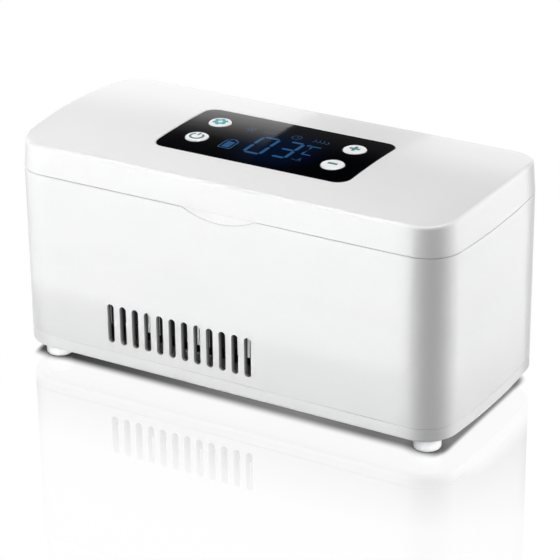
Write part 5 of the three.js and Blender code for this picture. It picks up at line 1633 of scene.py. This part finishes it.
def make_seal():
    inner, outer = FIT - PLUG_GAP, FIT + GASKET_WIDTH - PLUG_GAP
    middle, half = (inner + outer) / 2, GASKET_WIDTH / 2
    drop = GASKET_BULGE * (gasket_high.z - gasket_low.z)
    profile = [(middle + half * x, gasket_low.z + drop * (1 + y))
               for x, y in arc(0, 0, 1, math.pi, 2 * math.pi, GASKET_STEPS)]
    profile += [(outer, gasket_high.z), (inner, gasket_high.z)]
    return soften(piece("seal_ring", chamber_loft(profile, closed=True), seal_grey))


dress(make_liner(), "lid", "satin_white", "lid_liner")
dress(make_seal(), "lid", "seal_grey", "lid_gasket")

# %% [markdown]
# ## Hinge pins and power inlet
# Two steel pins carry the lid. A round power inlet shows in the rear wall: a black sleeve round a bore
# with a steel contact pin. All of them are turned shapes that are laid on their side.

# %% Pins and inlet
PIN_CHAMFER = 0.3 * MM
PIN_COUNT, SLEEVE_COUNT, CONTACT_COUNT = 32, 48, 24
BORE_RADIUS, BORE_DEPTH, BORE_CHAMFER = 2.9 * MM, 9 * MM, 0.3 * MM
SLEEVE_EDGE, SLEEVE_FLOOR = 0.5 * MM, 2 * MM
CONTACT = [(1 * MM, -BORE_DEPTH), (1 * MM, -1.6 * MM), (0.8 * MM, -1.15 * MM), (0.35 * MM, -0.9 * MM)]
SLEEVE = [(JACK_RADIUS, -BORE_DEPTH - SLEEVE_FLOOR), (JACK_RADIUS, -SLEEVE_EDGE),
          (JACK_RADIUS - SLEEVE_EDGE, 0), (BORE_RADIUS + BORE_CHAMFER, 0),
          (BORE_RADIUS, -BORE_CHAMFER), (BORE_RADIUS, -BORE_DEPTH)]


def make_pin(side):
    low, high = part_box("hinge_pin_" + side)
    tip = PIN_RADIUS - PIN_CHAMFER
    profile = [(tip, low.x), (PIN_RADIUS, low.x + PIN_CHAMFER),
               (PIN_RADIUS, high.x - PIN_CHAMFER), (tip, high.x)]
    return soften(piece("steel_pin_" + side, placed(turned(profile, count=PIN_COUNT), ALONG_HINGE), steel))


def make_inlet_part(name, profile, count, paint):
    place = Matrix.Translation((JACK_X, REAR, JACK_Z)) @ UPRIGHT.inverted()
    return soften(piece(name, placed(turned(profile, count=count), place), paint))


for side in ("left", "right"):
    dress(make_pin(side), "case", "steel", "hinge_pin_" + side)
dress(make_inlet_part("inlet_sleeve", SLEEVE, SLEEVE_COUNT, part_black), "case", "part_black", "dc_jack")
dress(make_inlet_part("inlet_contact", CONTACT, CONTACT_COUNT, steel), "case", "steel")

# %% [markdown]
# ## What stays hidden
# The foam, the boards, the cells and the small screws inside never show, so their CAD solids stay as they
# are and only take the finish of their material slot.

# %% Finish the hidden nodes
SLOTS = {subpart["node"]: subpart["material_slot"] for subpart in frame["record"]["subparts"]}
for name, made in frame["nodes"].items():
    made.data.materials.clear()
    made.data.materials.append(FINISHES[SLOTS[name]])
print("finished", len(frame["nodes"]), "CAD nodes")
